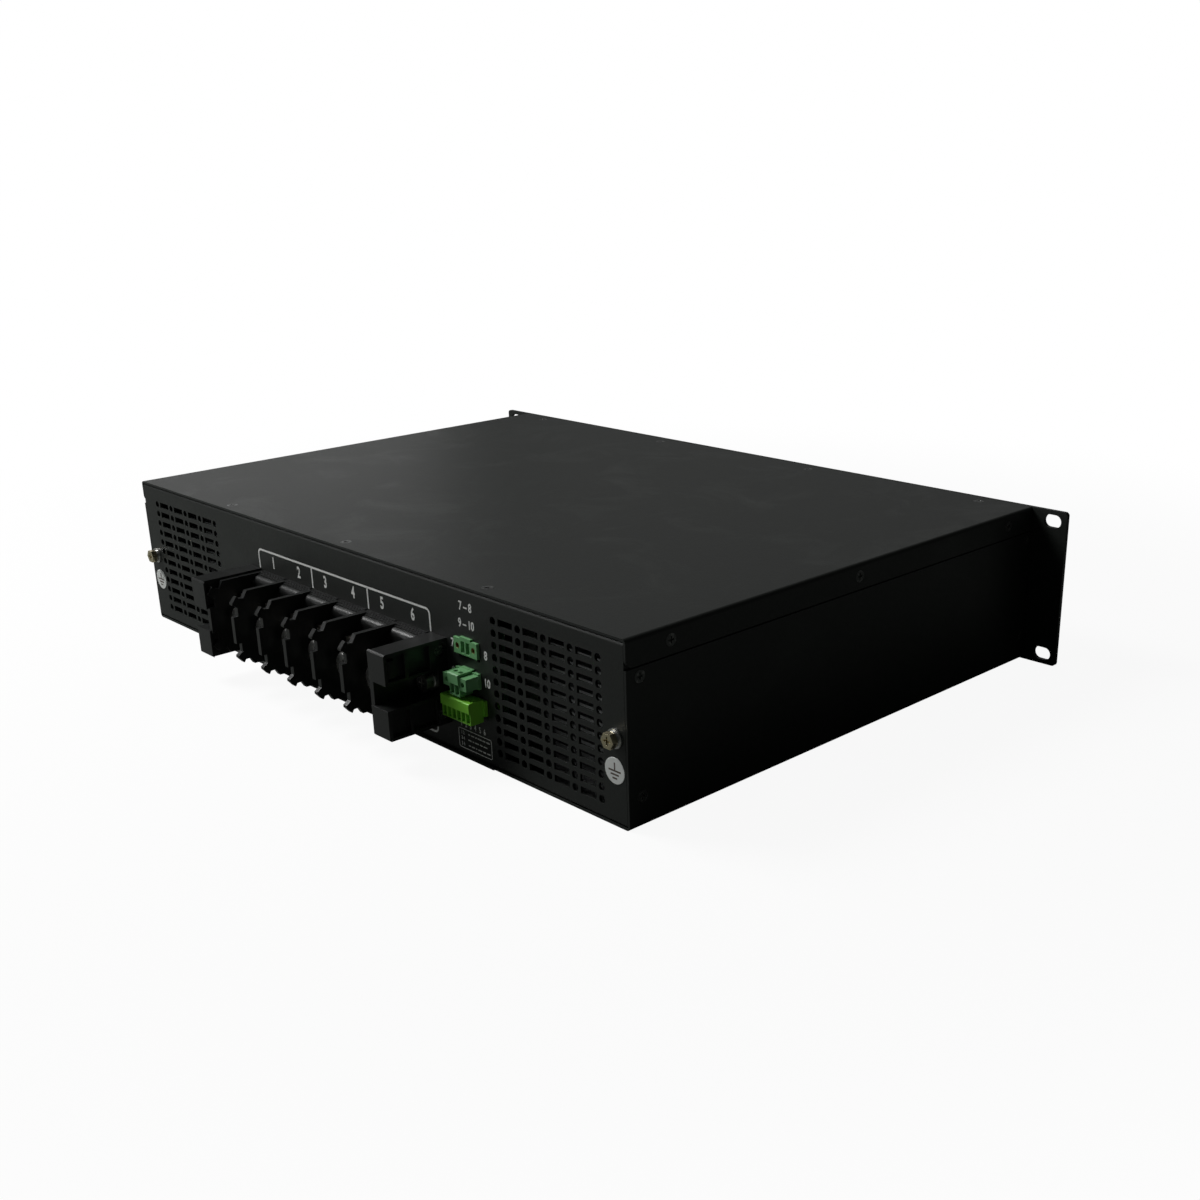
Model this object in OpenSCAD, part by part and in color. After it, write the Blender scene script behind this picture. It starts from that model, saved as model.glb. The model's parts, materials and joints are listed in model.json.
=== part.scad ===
// Rack static transfer switch, two rack units high, for a 19-inch rack.
// Two alternating-current sources come in at a six-pole terminal block on the rear panel.
// Thyristor modules on two heat sinks connect one of them to the output poles.
// X is across the rack, Y runs from the front panel to the rear, Z is up. All sizes in millimetres.

/* [Chassis] */
// Width over the side walls
body_w = 440; // [430:1:446]
// Depth from the back of the front panel to the rear panel
body_d = 305.6; // [300:0.1:360]
// Height from the underside to the top of the cover
body_h = 88.1; // [86:0.1:92]
// Thickness of the folded sheet
sheet_t = 1.2; // [1:0.1:1.6]
// Outside radius of the visible folds
bend_r = 2; // [1.7:0.1:3]
// Height of the cover's side flanges
cover_flange_h = 13.2; // [11:0.1:15]
// Gap between a cover flange and the side wall below it
cover_gap = 0.7; // [0.4:0.1:1]
// Radius of the lower corners of the cover flanges
flange_corner_r = 4; // [2:0.5:6]
// Side play of the pans between the side walls
pan_play = 0.2; // [0.1:0.05:0.4]
// Depth of the rear panel's flanges
rear_flange = 14; // [12:0.5:18]
// Depth of the front frame's flanges
front_flange = 15; // [13:0.5:20]
// How far the floor's rear lip stands out between the vents
lip_out = 0.8; // [0.3:0.1:1.5]

/* [Front panel] */
// Width over the ears
panel_w = 482.6; // [480:0.1:484]
// Thickness of the panel
panel_t = 2.5; // [2:0.1:4]
// Corner radius of the panel
panel_r = 2; // [1:0.5:3]
// Length of an ear slot
ear_slot_l = 10.7; // [9:0.1:12]
// Width of an ear slot
ear_slot_w = 7.2; // [6.5:0.1:7.5]
// Distance of a slot's middle from the end of the panel
ear_slot_side = 8.75; // [8.5:0.05:9]
// Distance between the slot rows
ear_pitch_z = 76.2; // [70:0.1:76.2]
// Number of intake slots in each group
intake_count = 10; // [6:1:11]
// Distance between intake slots
intake_pitch = 8; // [7:0.5:8]
// Length of an intake slot
intake_l = 44; // [30:1:50]
// Width of an intake slot
intake_w = 3.6; // [3:0.2:4.5]
// Distance of the intake groups from the middle
intake_x = 150; // [146:1:160]
// Distance of the front panel's screws from the sides of the case
panel_screw_side = 12; // [10:0.5:14]
// Distance of the front panel's screws from its upper and lower edges
panel_screw_z = 12; // [10:0.5:14]

/* [Screws] */
// Thread diameter of the case screws
screw_d = 3; // [2.5:0.1:3.5]
// Head diameter of the case screws
screw_head_d = 6; // [5.4:0.1:6.6]
// Length of the case screws
screw_len = 6; // [5:0.5:7]
// Radial clearance of a screw in its hole
screw_play = 0.15; // [0.1:0.05:0.3]
// Distance of the rear row of top screws from the rear face
rear_row_y = 6.8; // [6:0.1:9]
// Distance between the rear top screws
rear_row_pitch = 119; // [100:1:120]
// Distance of the front row of top screws behind the front panel
front_row_y = 8.3; // [7:0.1:10]
// Distance of the outer front top screws from the sides
front_row_side = 30; // [25:1:60]
// Distance of the rear flange screw from the rear face
flange_screw_rear = 26.7; // [24:0.5:40]
// Distance of the front flange screw behind the front panel
flange_screw_front = 23; // [22:0.5:40]
// Distance of the upper side screws below the edge of the side wall
side_screw_drop = 4.3; // [4.2:0.1:8]
// Height of the lower side screws
side_screw_low = 14.4; // [12:0.1:18]
// Distance of the rear side screws from the rear face
side_screw_rear = 8.1; // [7:0.1:9]
// Distance of the front side screws behind the front panel
side_screw_front = 5.2; // [5:0.1:8]

/* [Vents] */
// Distance of the outer round holes from the side of the case
vent_side = 17.5; // [16.5:0.5:20]
// Least distance between a port's middle and the nearest round holes
vent_port_gap = 19; // [18:0.5:24]
// Rows in a vent
vent_rows = 12; // [6:1:12]
// Distance between round holes in a row
vent_pitch_x = 18; // [16:0.5:18]
// Distance between rows
vent_pitch_z = 6; // [5:0.1:6.2]
// Height of a vent's middle
vent_z = 43.1; // [40:0.1:46]
// Diameter of a round hole
vent_hole_d = 4; // [3:0.1:4.4]
// Length of a slot
vent_slot_l = 10.5; // [7:0.5:11]
// Width of a slot
vent_slot_w = 3.5; // [2.4:0.1:4]

/* [Terminal block] */
// Distance between poles
pole_pitch = 26.5; // [24:0.1:27]
// Thickness of a barrier
barrier_t = 3; // [2:0.1:3.6]
// How far a barrier stands out
barrier_out = 34.9; // [33:0.1:38]
// Half the height of a barrier
barrier_half = 20.6; // [20:0.1:22]
// Height of the block's axis above the underside
block_z = 37.6; // [36:0.1:40]
// Thickness of the poles' back wall
pole_wall = 7.5; // [7:0.1:9]
// Half the height of the back wall
pole_wall_half = 19.4; // [18.6:0.1:20]
// Radius of the back wall's shoulders
shoulder_r = 3.6; // [2:0.1:3.7]
// How far the pedestal under a bolt stands out from the panel
pedestal_out = 14; // [13:0.1:15]
// Half the height of a pedestal
pedestal_half = 10.4; // [9.6:0.1:10.8]
// How far the block's neck reaches behind the rear panel's face
neck_in = 5; // [3:0.5:8]
// Half the height of the neck
neck_half = 15.2; // [14.8:0.1:16]
// Width of an end bracket
end_w = 12.2; // [12:0.1:15]
// How far the front of an arm laps over the barrier beside it
end_lap = 1.5; // [0.5:0.1:2.5]
// How far an end bracket's arms stand out
end_out = 36; // [36:0.1:40]
// Half the height of an end bracket
end_half = 21.8; // [21:0.1:23]
// Half the height of the recess between the arms
recess_half = 6.3; // [5.6:0.1:7]
// Thickness of an end bracket's back wall
end_wall = 6; // [5:0.1:8]
// Depth of the pockets in the arms' outer sides
pocket_depth = 3; // [1:0.1:3.4]
// Diameter of the tie rods
rod_d = 3; // [2.6:0.1:3.2]
// Distance of the tie rods from the panel
rod_y = 4.4; // [4:0.1:5]
// Distance of the tie rods from the block's axis
rod_h = 16.5; // [16.3:0.1:16.8]

/* [Terminal bolts] */
// Thread diameter of a terminal bolt
bolt_d = 8; // [6:0.1:8]
// Diameter of its head
bolt_head_d = 15; // [13:0.1:16]
// Height of its head
bolt_head_h = 5; // [4:0.1:5.4]
// Outside diameter of its flat washer
bolt_washer_d = 16; // [15:0.1:18]
// Thickness of its flat washer
bolt_washer_t = 1.4; // [1:0.1:1.6]
// Outside diameter of its spring washer
bolt_spring_d = 14; // [12:0.1:14.8]
// Thickness of its spring washer
bolt_spring_t = 2; // [1.6:0.1:2.2]
// Width across flats of its nut
bolt_nut_af = 13; // [12.4:0.1:13.4]
// Thickness of its nut
bolt_nut_t = 6; // [5:0.1:6.2]
// Width of a terminal bar
bar_w = 19; // [17:0.1:20]
// Thickness of a terminal bar
bar_t = 3; // [2.5:0.1:3.4]
// How far a terminal bar reaches behind the rear panel's face
bar_in = 30; // [30:0.5:32]

/* [Earth points] */
// Distance of an earth bolt from the side of the case
earth_side = 7.7; // [7.7:0.1:8.1]
// Height of the earth bolts
earth_z = 42; // [38:0.1:46]
// Thread diameter of an earth bolt
earth_d = 4; // [3:0.1:5]
// Width across flats of its head
earth_af = 7; // [6:0.1:8]
// Height of its head
earth_head_h = 3; // [2.4:0.1:3.4]
// Outside diameter of its flat washer
earth_washer_d = 9.2; // [8:0.1:10]
// Thickness of its flat washer
earth_washer_t = 0.9; // [0.8:0.1:1.2]
// Outside diameter of its spring washer
earth_spring_d = 7.4; // [6.4:0.1:8]
// Thickness of its spring washer
earth_spring_t = 1.1; // [0.9:0.1:1.2]

/* [Signal ports] */
// Distance of the ports' middle from the terminal block
port_gap = 16.8; // [16:0.1:18]
// Height of the serial port
serial_z = 58.4; // [58:0.1:60]
// Height of the alarm port
alarm_z = 43.4; // [43.2:0.1:43.8]
// Height of the contact port
contact_z = 30.7; // [30:0.1:31]
// Pitch of the two-pole ports
port_pitch = 3.81; // [3.5:0.01:5.08]
// Pitch of the six-pole port
contact_pitch = 3.65; // [3.5:0.01:3.81]
// Height of a port's socket outside
port_h = 7.8; // [7:0.1:8]
// Thickness of a two-pole socket's wall beside its poles
port_wall = 0.3; // [0.3:0.1:0.8]
// Thickness of the six-pole socket's wall beside its poles
contact_wall = 1.5; // [1:0.1:2]
// How far the middle of a two-pole socket stands above its lugs
port_key = 1; // [0.5:0.1:1.2]
// Clearance between a socket and its opening in the panel
port_play = 0.2; // [0.1:0.05:0.4]
// How far the serial port's opening reaches below its socket
serial_slack = 1.2; // [0.2:0.1:1.4]
// How far a socket stands out of the panel
port_out = 1.5; // [1:0.1:2]
// Depth of a socket behind the panel's face
port_in = 10.4; // [9:0.1:11]
// Width of a fixing lug beside a socket
port_lug_w = 4.8; // [4.4:0.1:5]
// Distance of a lug's hole from the start of the lug
port_lug_hole = 2; // [2:0.1:2.6]
// Height of a plug
plug_h = 11.3; // [10:0.1:11.4]
// How far a plug's middle lies below its socket's
plug_drop = 1.1; // [0:0.1:1.2]
// Length of the lugs beside a two-pole plug
plug_lug_l = 7.4; // [5:0.1:8]
// How far a plug stands out of its socket
plug_out = 8.4; // [8:0.1:11]
// Height of a plug's stepped front above its wire openings
plug_head_h = 5.2; // [4.6:0.1:5.6]

/* [Heat sinks] */
// Distance between the fins and the side of the case
sink_side = 12; // [10:0.5:12]
// Thickness of the base
sink_base_t = 8; // [6:0.5:10]
// Length of the fins
sink_fin_l = 72; // [60:1:76]
// Thickness of a fin
sink_fin_t = 1.8; // [1.2:0.1:2.4]
// Number of fins
sink_fin_count = 13; // [8:1:14]
// Height of a heat sink
sink_h = 76; // [72:1:80]
// Distance of the heat sinks from the rear face
sink_rear = 20; // [18:0.5:22]

/* [Thyristor modules] */
// Width of a module
module_w = 34; // [30:1:34]
// Height of a module over its terminals
module_h = 30; // [26:0.5:30]
// Thickness of its metal base
module_base_t = 3; // [2:0.5:4]
// Gap between the two modules on a heat sink
module_gap = 5; // [4:0.5:8]
// Distance of the modules from the ends of the heat sink
module_end = 5; // [4:0.5:8]
// Distance of a terminal from the module's end
module_terminal = 20; // [19:0.5:24]

/* [Busbars] */
// Width of a busbar
busbar_w = 14; // [12:0.5:15]
// Thickness of a busbar
busbar_t = 3; // [2:0.1:3]
// Height between busbar levels
busbar_step = 7.5; // [6:0.5:9]
// Thread diameter of the busbar bolts
busbar_bolt_d = 5; // [4:0.1:6]
// Outside width of a current sensor
sensor_w = 24; // [22:0.5:25]
// Height of a current sensor
sensor_h = 12; // [8:0.5:12]

/* [Boards] */
// Width of a gate driver board
driver_w = 26; // [24:1:28]
// Distance of a driver board's ends from the ends of the modules
driver_inset = 12; // [10:1:16]
// Distance of a driver board's posts from the ends of a module
driver_post = 22; // [18:1:24]
// Thickness of a circuit board
board_t = 1.6; // [1:0.1:2]
// Height of the standoffs on the floor
standoff_h = 8; // [5:0.5:12]
// Width across flats of a standoff
standoff_af = 5.5; // [5:0.1:6]
// Clearance between the boards and the front frame
board_front = 12; // [10:0.5:14]
// Clearance between the boards and the heat sinks
board_rear = 2.6; // [2:0.2:6]
// Clearance between a supply board and the side of the case
board_side = 10; // [8:0.5:12]
// Gap between the control board and a supply board
board_gap = 18; // [10:1:20]
// Depth of the control board
control_l = 56; // [50:1:58]
// Distance between relays on the control board
relay_pitch = 16; // [15:0.5:20]
// Width of a relay
relay_w = 13; // [10:0.5:14]
// Distance between capacitors on the control board
capacitor_pitch = 14; // [12:0.5:18]
// Diameter of a capacitor
capacitor_d = 10; // [8:0.5:11]
// Width of the control board's header
header_w = 20; // [16:1:24]
// Distance of the header from the end of the control board
header_side = 12; // [8:1:14]
// Width of a supply board
supply_w = 104; // [98:1:106]
// Depth of a supply board
supply_l = 50; // [46:1:56]
// Width of the display board
display_w = 140; // [130:1:150]
// Height of the display board
display_h = 62; // [58:1:66]
// Width of the display's window
window_w = 74; // [60:1:80]
// Height of the display's window
window_h = 34; // [28:1:38]
// Thickness of the front film
film_t = 0.5; // [0.3:0.1:0.8]

/* [Hidden] */
$fn = 32;

tiny = 0.01;
flat_gap = 0.3;
overall_l = film_t + panel_t + body_d + end_out;
rear_y = overall_l / 2 - end_out;
front_y = rear_y - body_d;
mid_z = body_h / 2;
cover_under = body_h - sheet_t;
cover_low = body_h - cover_flange_h;
wall_top = cover_low - cover_gap;
side_screw_high = wall_top - side_screw_drop;
pan_w = body_w - 2 * sheet_t - 2 * pan_play;
pan_h = body_h - 2 * sheet_t;
inner_r = max(bend_r - sheet_t, 0.2);
lip_face = body_w / 2 - sheet_t - screw_play;
pole_count = 6;
block_half = pole_count / 2 * pole_pitch;
bracket_x = block_half + barrier_t / 2;
end_mid_x = bracket_x + end_w / 2;
port_x = bracket_x + end_w + port_gap;
vent_outer = body_w / 2 - vent_side;
vent_cols = floor((vent_outer - port_x - vent_port_gap) / vent_pitch_x) + 1;
vent_inner = vent_outer - (vent_cols - 1) * vent_pitch_x;
earth_x = body_w / 2 - earth_side;
panel_screw_x = body_w / 2 - panel_screw_side;
front_row_x = body_w / 2 - front_row_side;
leg_top = -pedestal_half - 0.2;
washer_y = pedestal_out + bar_t;
head_y = washer_y + bolt_washer_t + bolt_spring_t;
window_half = neck_half + 0.4;
fixing_d = 5;
sink_x = body_w / 2 - sink_side - sink_fin_l - sink_base_t;
sink_len = body_d - sink_rear - board_rear - max(control_l, supply_l) - board_front - front_flange;
module_l = (sink_len - 2 * module_end - 1 - module_gap) / 2;
module_z = 1.2 + sheet_t + sink_h / 2 + 2;
module_rear = sink_rear + module_end;
rear_row_xs = [-rear_row_pitch, 0, rear_row_pitch];
front_row_xs = [-front_row_x, -front_row_x * 0.345, front_row_x * 0.345, front_row_x];
flange_screw_ys = [-flange_screw_rear, -(body_d - flange_screw_front + flange_screw_rear) / 2,
                   -body_d + flange_screw_front];

function pole_x(k) = ((pole_count + 1) / 2 - k) * pole_pitch;

// ---- shared shapes ----

// Frame with y = 0 on the rear panel's outer face and +y pointing out of the back
module at_rear() {
  translate([0, rear_y, 0]) children();
}

// Frame with y = 0 on the back of the front panel and +y pointing into the chassis
module at_front() {
  translate([0, front_y, 0]) children();
}

module both_sides() {
  children();
  mirror([1, 0, 0]) children();
}

// A profile drawn in X and Z, extruded towards -Y
module profile_along_y(length) {
  rotate([90, 0, 0]) linear_extrude(length) children();
}

// A profile drawn in Y and Z, extruded towards +X
module profile_along_x(length) {
  rotate([90, 0, 90]) linear_extrude(length) children();
}

// A slot with round ends, lying along its first axis
module slot(length, width) {
  square([length - width, width], center = true);
  for (side = [-1, 1])
    translate([side * (length - width) / 2, 0]) circle(d = width);
}

module hexagon(af) {
  circle(d = af / cos(30), $fn = 6);
}

// A ring standing on z = 0
module washer(outer_d, inner_d, t) {
  difference() {
    cylinder(h = t, d = outer_d);
    translate([0, 0, -1]) cylinder(h = t + 2, d = inner_d);
  }
}

// A crossed recess sunk from z = 0
module cross_recess(size, width, depth) {
  translate([0, 0, -depth / 2 + 0.5]) cube([size, width, depth + 1], center = true);
  translate([0, 0, -depth / 2 + 0.5]) cube([width, size, depth + 1], center = true);
}

// Countersunk screw with its head's top at z = 0, pointing down
module flush_screw(length) {
  difference() {
    union() {
      translate([0, 0, -sheet_t]) cylinder(h = sheet_t, d1 = screw_d, d2 = screw_head_d);
      translate([0, 0, -length]) cylinder(h = length - sheet_t, d = screw_d);
    }
    cross_recess(screw_head_d * 0.55, 0.8, sheet_t * 0.7);
  }
}

// The hole that a flush screw needs in the sheet that carries its head
module flush_hole() {
  translate([0, 0, -sheet_t])
    cylinder(h = sheet_t, d1 = screw_d + 2 * screw_play, d2 = screw_head_d + 2 * screw_play);
  translate([0, 0, -screw_len]) cylinder(h = screw_len, d = screw_d + 2 * screw_play);
  cylinder(h = 1, d = screw_head_d + 2 * screw_play);
}

module screw_hole() {
  translate([0, 0, -screw_len - 1]) cylinder(h = screw_len + 2, d = screw_d + 2 * screw_play);
}

// ---- where the case screws go; children point down from the surface ----

module at_cover_top_screws() {
  for (x = rear_row_xs)
    translate([x, rear_y - rear_row_y, body_h]) children();
  for (x = front_row_xs)
    translate([x, front_y + front_row_y, body_h]) children();
}

module at_cover_side_screws() {
  both_sides()
    for (y = flange_screw_ys)
      translate([body_w / 2, rear_y + y, body_h - cover_flange_h / 2]) rotate([0, 90, 0]) children();
}

module at_wall_screws() {
  both_sides()
    for (z = [side_screw_low, side_screw_high])
      for (y = [rear_y - side_screw_rear, front_y + side_screw_front])
        translate([body_w / 2, y, z]) rotate([0, 90, 0]) children();
}

module at_panel_screws() {
  both_sides()
    for (z = [panel_screw_z, body_h - panel_screw_z])
      translate([panel_screw_x, -panel_t, z]) rotate([90, 0, 0]) children();
}

// ---- folded case ----

// A box outline with its two lower corners rounded
module tub_outline(w, h, r) {
  translate([-w / 2, r]) square([w, h - r]);
  translate([-w / 2 + r, 0]) square([w - 2 * r, h]);
  for (side = [-1, 1])
    translate([side * (w / 2 - r), r]) circle(r);
}

// A folded sheet in the shape of a U
module tub_sheet(w, h) {
  difference() {
    tub_outline(w, h, bend_r);
    translate([0, sheet_t]) tub_outline(w - 2 * sheet_t, h, inner_r);
  }
}

lip_half = vent_inner - 5;

module chassis_tray() {
  color("#141614")
  difference() {
    union() {
      at_rear() profile_along_y(body_d) tub_sheet(body_w, wall_top);
      both_sides() tray_lip();
      translate([-lip_half, rear_y - tiny, 0]) cube([2 * lip_half, lip_out + tiny, sheet_t]);
    }
    at_cover_side_screws() screw_hole();
    at_wall_screws() flush_hole();
    at_floor_screws() flush_hole();
  }
}

// The joggled strip behind a cover flange, folded from the side wall
module tray_lip() {
  lip_l = body_d - rear_flange - front_flange - 4;
  lip_top = cover_under - 0.9;
  translate([0, rear_y - rear_flange - 2, 0])
    profile_along_y(lip_l) {
      translate([lip_face - sheet_t, wall_top - sheet_t]) square([sheet_t, lip_top - wall_top + sheet_t]);
      translate([lip_face - sheet_t, wall_top - sheet_t])
        square([body_w / 2 - lip_face + sheet_t, sheet_t]);
    }
}

module top_cover() {
  color("#303532")
  difference() {
    at_rear()
      translate([0, 0, body_h]) mirror([0, 0, 1])
        profile_along_y(body_d - flat_gap) tub_sheet(body_w, cover_flange_h);
    at_cover_top_screws() flush_hole();
    at_cover_side_screws() flush_hole();
    both_sides() flange_corner();
  }
}

// What is cut off a cover flange to round its lower rear corner
module flange_corner() {
  translate([body_w / 2 - 2 * sheet_t, rear_y - flange_corner_r, cover_low])
    difference() {
      translate([0, 0, -1]) cube([3 * sheet_t, flange_corner_r + 1, flange_corner_r + 1]);
      translate([-1, 0, flange_corner_r]) rotate([0, 90, 0]) cylinder(h = 3 * sheet_t + 2, r = flange_corner_r);
    }
}

// The section of a pan: a plate at y = 0 with flanges towards -y, seen along X
module pan_section(depth) {
  difference() {
    union() {
      translate([-depth, 0]) square([depth - bend_r, pan_h]);
      translate([-depth, bend_r]) square([depth, pan_h - 2 * bend_r]);
      for (z = [bend_r, pan_h - bend_r])
        translate([-bend_r, z]) circle(bend_r);
    }
    translate([-depth - 1, sheet_t]) square([depth + 1 - sheet_t - inner_r, pan_h - 2 * sheet_t]);
    translate([-depth - 1, sheet_t + inner_r])
      square([depth + 1 - sheet_t, pan_h - 2 * sheet_t - 2 * inner_r]);
    for (z = [sheet_t + inner_r, pan_h - sheet_t - inner_r])
      translate([-sheet_t - inner_r, z]) circle(inner_r);
  }
}

// A sheet folded on all four sides, standing on the floor
module pan(depth) {
  relief = 5;
  intersection() {
    translate([-pan_w / 2, 0, sheet_t]) profile_along_x(pan_w) pan_section(depth);
    translate([0, 1, mid_z]) profile_along_y(depth + 2) rounded_plate(pan_w, pan_h, inner_r + 0.4);
  }
  both_sides()
    translate([pan_w / 2 - sheet_t, -depth, sheet_t + relief])
      cube([sheet_t, depth - sheet_t / 2, pan_h - 2 * relief]);
}

// The vent on the +X side: round holes and oblong ones take turns along each row
module vent_openings() {
  for (row = [0 : vent_rows - 1])
    translate([vent_inner, vent_z + (row - (vent_rows - 1) / 2) * vent_pitch_z]) {
      for (col = [0 : vent_cols - 1])
        translate([col * vent_pitch_x, 0]) circle(d = vent_hole_d, $fn = 24);
      for (col = [0 : vent_cols - 2])
        translate([(col + 0.5) * vent_pitch_x, 0]) square([vent_slot_l, vent_slot_w], center = true);
    }
}

module rear_openings() {
  both_sides() vent_openings();
  for (side = [-1, 1]) {
    translate([side * earth_x, earth_z]) circle(d = earth_d + 2 * screw_play);
    translate([side * end_mid_x, block_z]) circle(d = fixing_d + 2 * screw_play);
  }
  translate([-block_half - 0.4, block_z - window_half])
    square([2 * block_half + 0.8, 2 * window_half]);
  translate([-port_x, serial_z]) socket_outline(2, port_pitch, true, port_play);
  translate([-port_x, serial_z - serial_slack]) socket_outline(2, port_pitch, true, port_play);
  translate([-port_x, alarm_z]) socket_outline(2, port_pitch, true, port_play);
  translate([-port_x, contact_z]) socket_outline(6, contact_pitch, false, port_play);
}

module rear_panel() {
  color("#1b1e1d")
  difference() {
    at_rear()
      difference() {
        pan(rear_flange);
        translate([0, 1, 0]) profile_along_y(sheet_t + 2) rear_openings();
      }
    at_cover_top_screws() screw_hole();
    at_wall_screws() screw_hole();
  }
}

module front_openings() {
  for (side = [-1, 1])
    translate([side * intake_x, mid_z])
      for (i = [0 : intake_count - 1])
        translate([(i - (intake_count - 1) / 2) * intake_pitch, 0]) rotate(90) slot(intake_l, intake_w);
  translate([0, window_z]) square([window_w, window_h], center = true);
  for (i = [0 : led_count - 1])
    translate([led_x(i), led_z]) circle(d = led_d + 0.3);
}
window_z = mid_z + 4;
led_count = 6;
led_d = 3;
led_z = mid_z - 22;
function led_x(i) = (i - (led_count - 1) / 2) * 12;

module front_frame() {
  intake_span = intake_count * intake_pitch + 4;
  color("#1b1e1d")
  difference() {
    at_front()
      difference() {
        mirror([0, 1, 0]) pan(front_flange);
        translate([0, sheet_t + 1, 0])
          profile_along_y(sheet_t + 2) {
            for (side = [-1, 1])
              translate([side * intake_x, mid_z]) square([intake_span, intake_l + 4], center = true);
            translate([0, mid_z]) square([display_w + 6, display_h + 4], center = true);
          }
        at_panel_screws() screw_hole();
      }
    at_cover_top_screws() screw_hole();
    at_wall_screws() screw_hole();
  }
}

module front_panel() {
  color("#181a19")
  at_front()
    difference() {
      profile_along_y(panel_t)
        difference() {
          translate([0, mid_z]) rounded_plate(panel_w, body_h, panel_r);
          for (x = [ear_slot_side - panel_w / 2, panel_w / 2 - ear_slot_side])
            for (z = [-ear_pitch_z / 2, ear_pitch_z / 2])
              translate([x, mid_z + z]) slot(ear_slot_l, ear_slot_w);
          front_openings();
        }
      at_panel_screws() flush_hole();
    }
}

module rounded_plate(w, h, r) {
  square([w - 2 * r, h], center = true);
  square([w, h - 2 * r], center = true);
  for (x = [-1, 1])
    for (y = [-1, 1])
      translate([x * (w / 2 - r), y * (h / 2 - r)]) circle(r);
}

module cover_top_screws() {
  color("#2c2c2c") at_cover_top_screws() flush_screw(screw_len);
}

module cover_side_screws() {
  color("#2c2c2c") at_cover_side_screws() flush_screw(screw_len);
}

module wall_screws() {
  color("#2c2c2c") at_wall_screws() flush_screw(screw_len);
}

module front_panel_screws() {
  color("#2c2c2c") at_front() at_panel_screws() flush_screw(screw_len);
}

// ---- earth points ----

module at_earth_points() {
  at_rear()
    for (side = [-1, 1])
      translate([side * earth_x, 0, earth_z]) rotate([-90, 0, 0]) children();
}

module earth_bolts() {
  seat = earth_washer_t + earth_spring_t;
  color("#c9c2a6")
  at_earth_points()
    difference() {
      union() {
        translate([0, 0, seat]) linear_extrude(earth_head_h) hexagon(earth_af);
        translate([0, 0, -6]) cylinder(h = 6 + seat, d = earth_d);
      }
      translate([0, 0, seat + earth_head_h]) cross_recess(earth_af * 0.6, 0.9, 1.4);
    }
}

module earth_washers() {
  bore = earth_d + 2 * screw_play;
  color("#c8c8c0")
  at_earth_points() {
    washer(earth_washer_d, bore, earth_washer_t);
    translate([0, 0, earth_washer_t]) washer(earth_spring_d, bore, earth_spring_t);
  }
}

// Nuts pressed into the inside of the rear panel for the earth bolts and the block's screws
module panel_nuts() {
  color("#b8b8b8")
  at_rear()
    for (side = [-1, 1]) {
      translate([side * earth_x, -sheet_t, earth_z]) press_nut(earth_d, 7);
      translate([side * end_mid_x, -sheet_t, block_z]) press_nut(fixing_d, 9);
    }
}

module press_nut(d, outer_d) {
  rotate([90, 0, 0]) washer(outer_d, d + 2 * screw_play, 3);
}

// ---- terminal block ----

// The outline of a barrier: y from the panel, z from the block's axis
module barrier_outline() {
  h = barrier_half;
  o = barrier_out;
  half = [[0, h], [o - 9.2, h], [o - 7, h - 3.7], [o - 4.2, h - 3.5], [o - 3.4, h - 2.1],
          [o - 2.9, h - 2.1], [o - 0.2, h - 5.2], [o - 0.2, h - 6.4], [o - 2.9, h - 8.3],
          [o - 2.9, h - 13], [o, h - 13.2]];
  polygon(concat(half, [for (i = [len(half) - 1 : -1 : 0]) [half[i][0], -half[i][1]]]));
}

// The section of a pole's back wall, with rounded shoulders
module pole_wall_outline() {
  h = pole_wall_half;
  translate([0, -h]) square([pole_wall - shoulder_r, 2 * h]);
  translate([0, shoulder_r - h]) square([pole_wall, 2 * h - 2 * shoulder_r]);
  for (side = [-1, 1])
    translate([pole_wall - shoulder_r, side * (h - shoulder_r)]) circle(shoulder_r);
}

// Ridges along the top of the back wall, next to the panel
module ridge_outline() {
  for (i = [0 : 2])
    translate([0, pole_wall_half - 1]) square([1.3 * (i + 1), 2.7 - 0.55 * i]);
}

module rod_holes(length) {
  for (side = [-1, 1])
    translate([-1, rod_y, side * rod_h]) rotate([0, 90, 0]) cylinder(h = length + 2, d = rod_d + 0.3);
}

// One moulded pole with its barrier on the -X side; x = 0 at the bolt, z = 0 on the axis
module pole_moulding() {
  inner_w = pole_pitch - barrier_t;
  nut_d = bolt_nut_af + 0.3;
  difference() {
    union() {
      translate([-inner_w / 2, 0, 0]) profile_along_x(inner_w) {
        pole_wall_outline();
        ridge_outline();
        translate([-neck_in, -neck_half]) square([neck_in + 1, 2 * neck_half]);
      }
      translate([-bar_w / 2 - 0.8, pole_wall - 1, -pedestal_half])
        cube([bar_w + 1.6, pedestal_out - pole_wall + 1, 2 * pedestal_half]);
      translate([-inner_w / 2 - barrier_t, 0, 0]) profile_along_x(barrier_t) barrier_outline();
    }
    translate([-bar_w / 2 - 0.2, -neck_in - 1, leg_top - bar_t - 0.2])
      cube([bar_w + 0.4, neck_in + pole_wall + 2, bar_t + 0.4]);
    translate([0, pedestal_out + 1, 0]) rotate([90, 0, 0]) {
      cylinder(h = pedestal_out - 1.5, d = bolt_d + 0.4);
      linear_extrude(bolt_nut_t + 1.2) hexagon(nut_d);
    }
    translate([-inner_w / 2 - barrier_t, 0, 0]) rod_holes(pole_pitch);
  }
}

module terminal_pole(k) {
  color("#101211")
  at_rear() translate([pole_x(k), 0, block_z]) pole_moulding();
}

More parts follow.
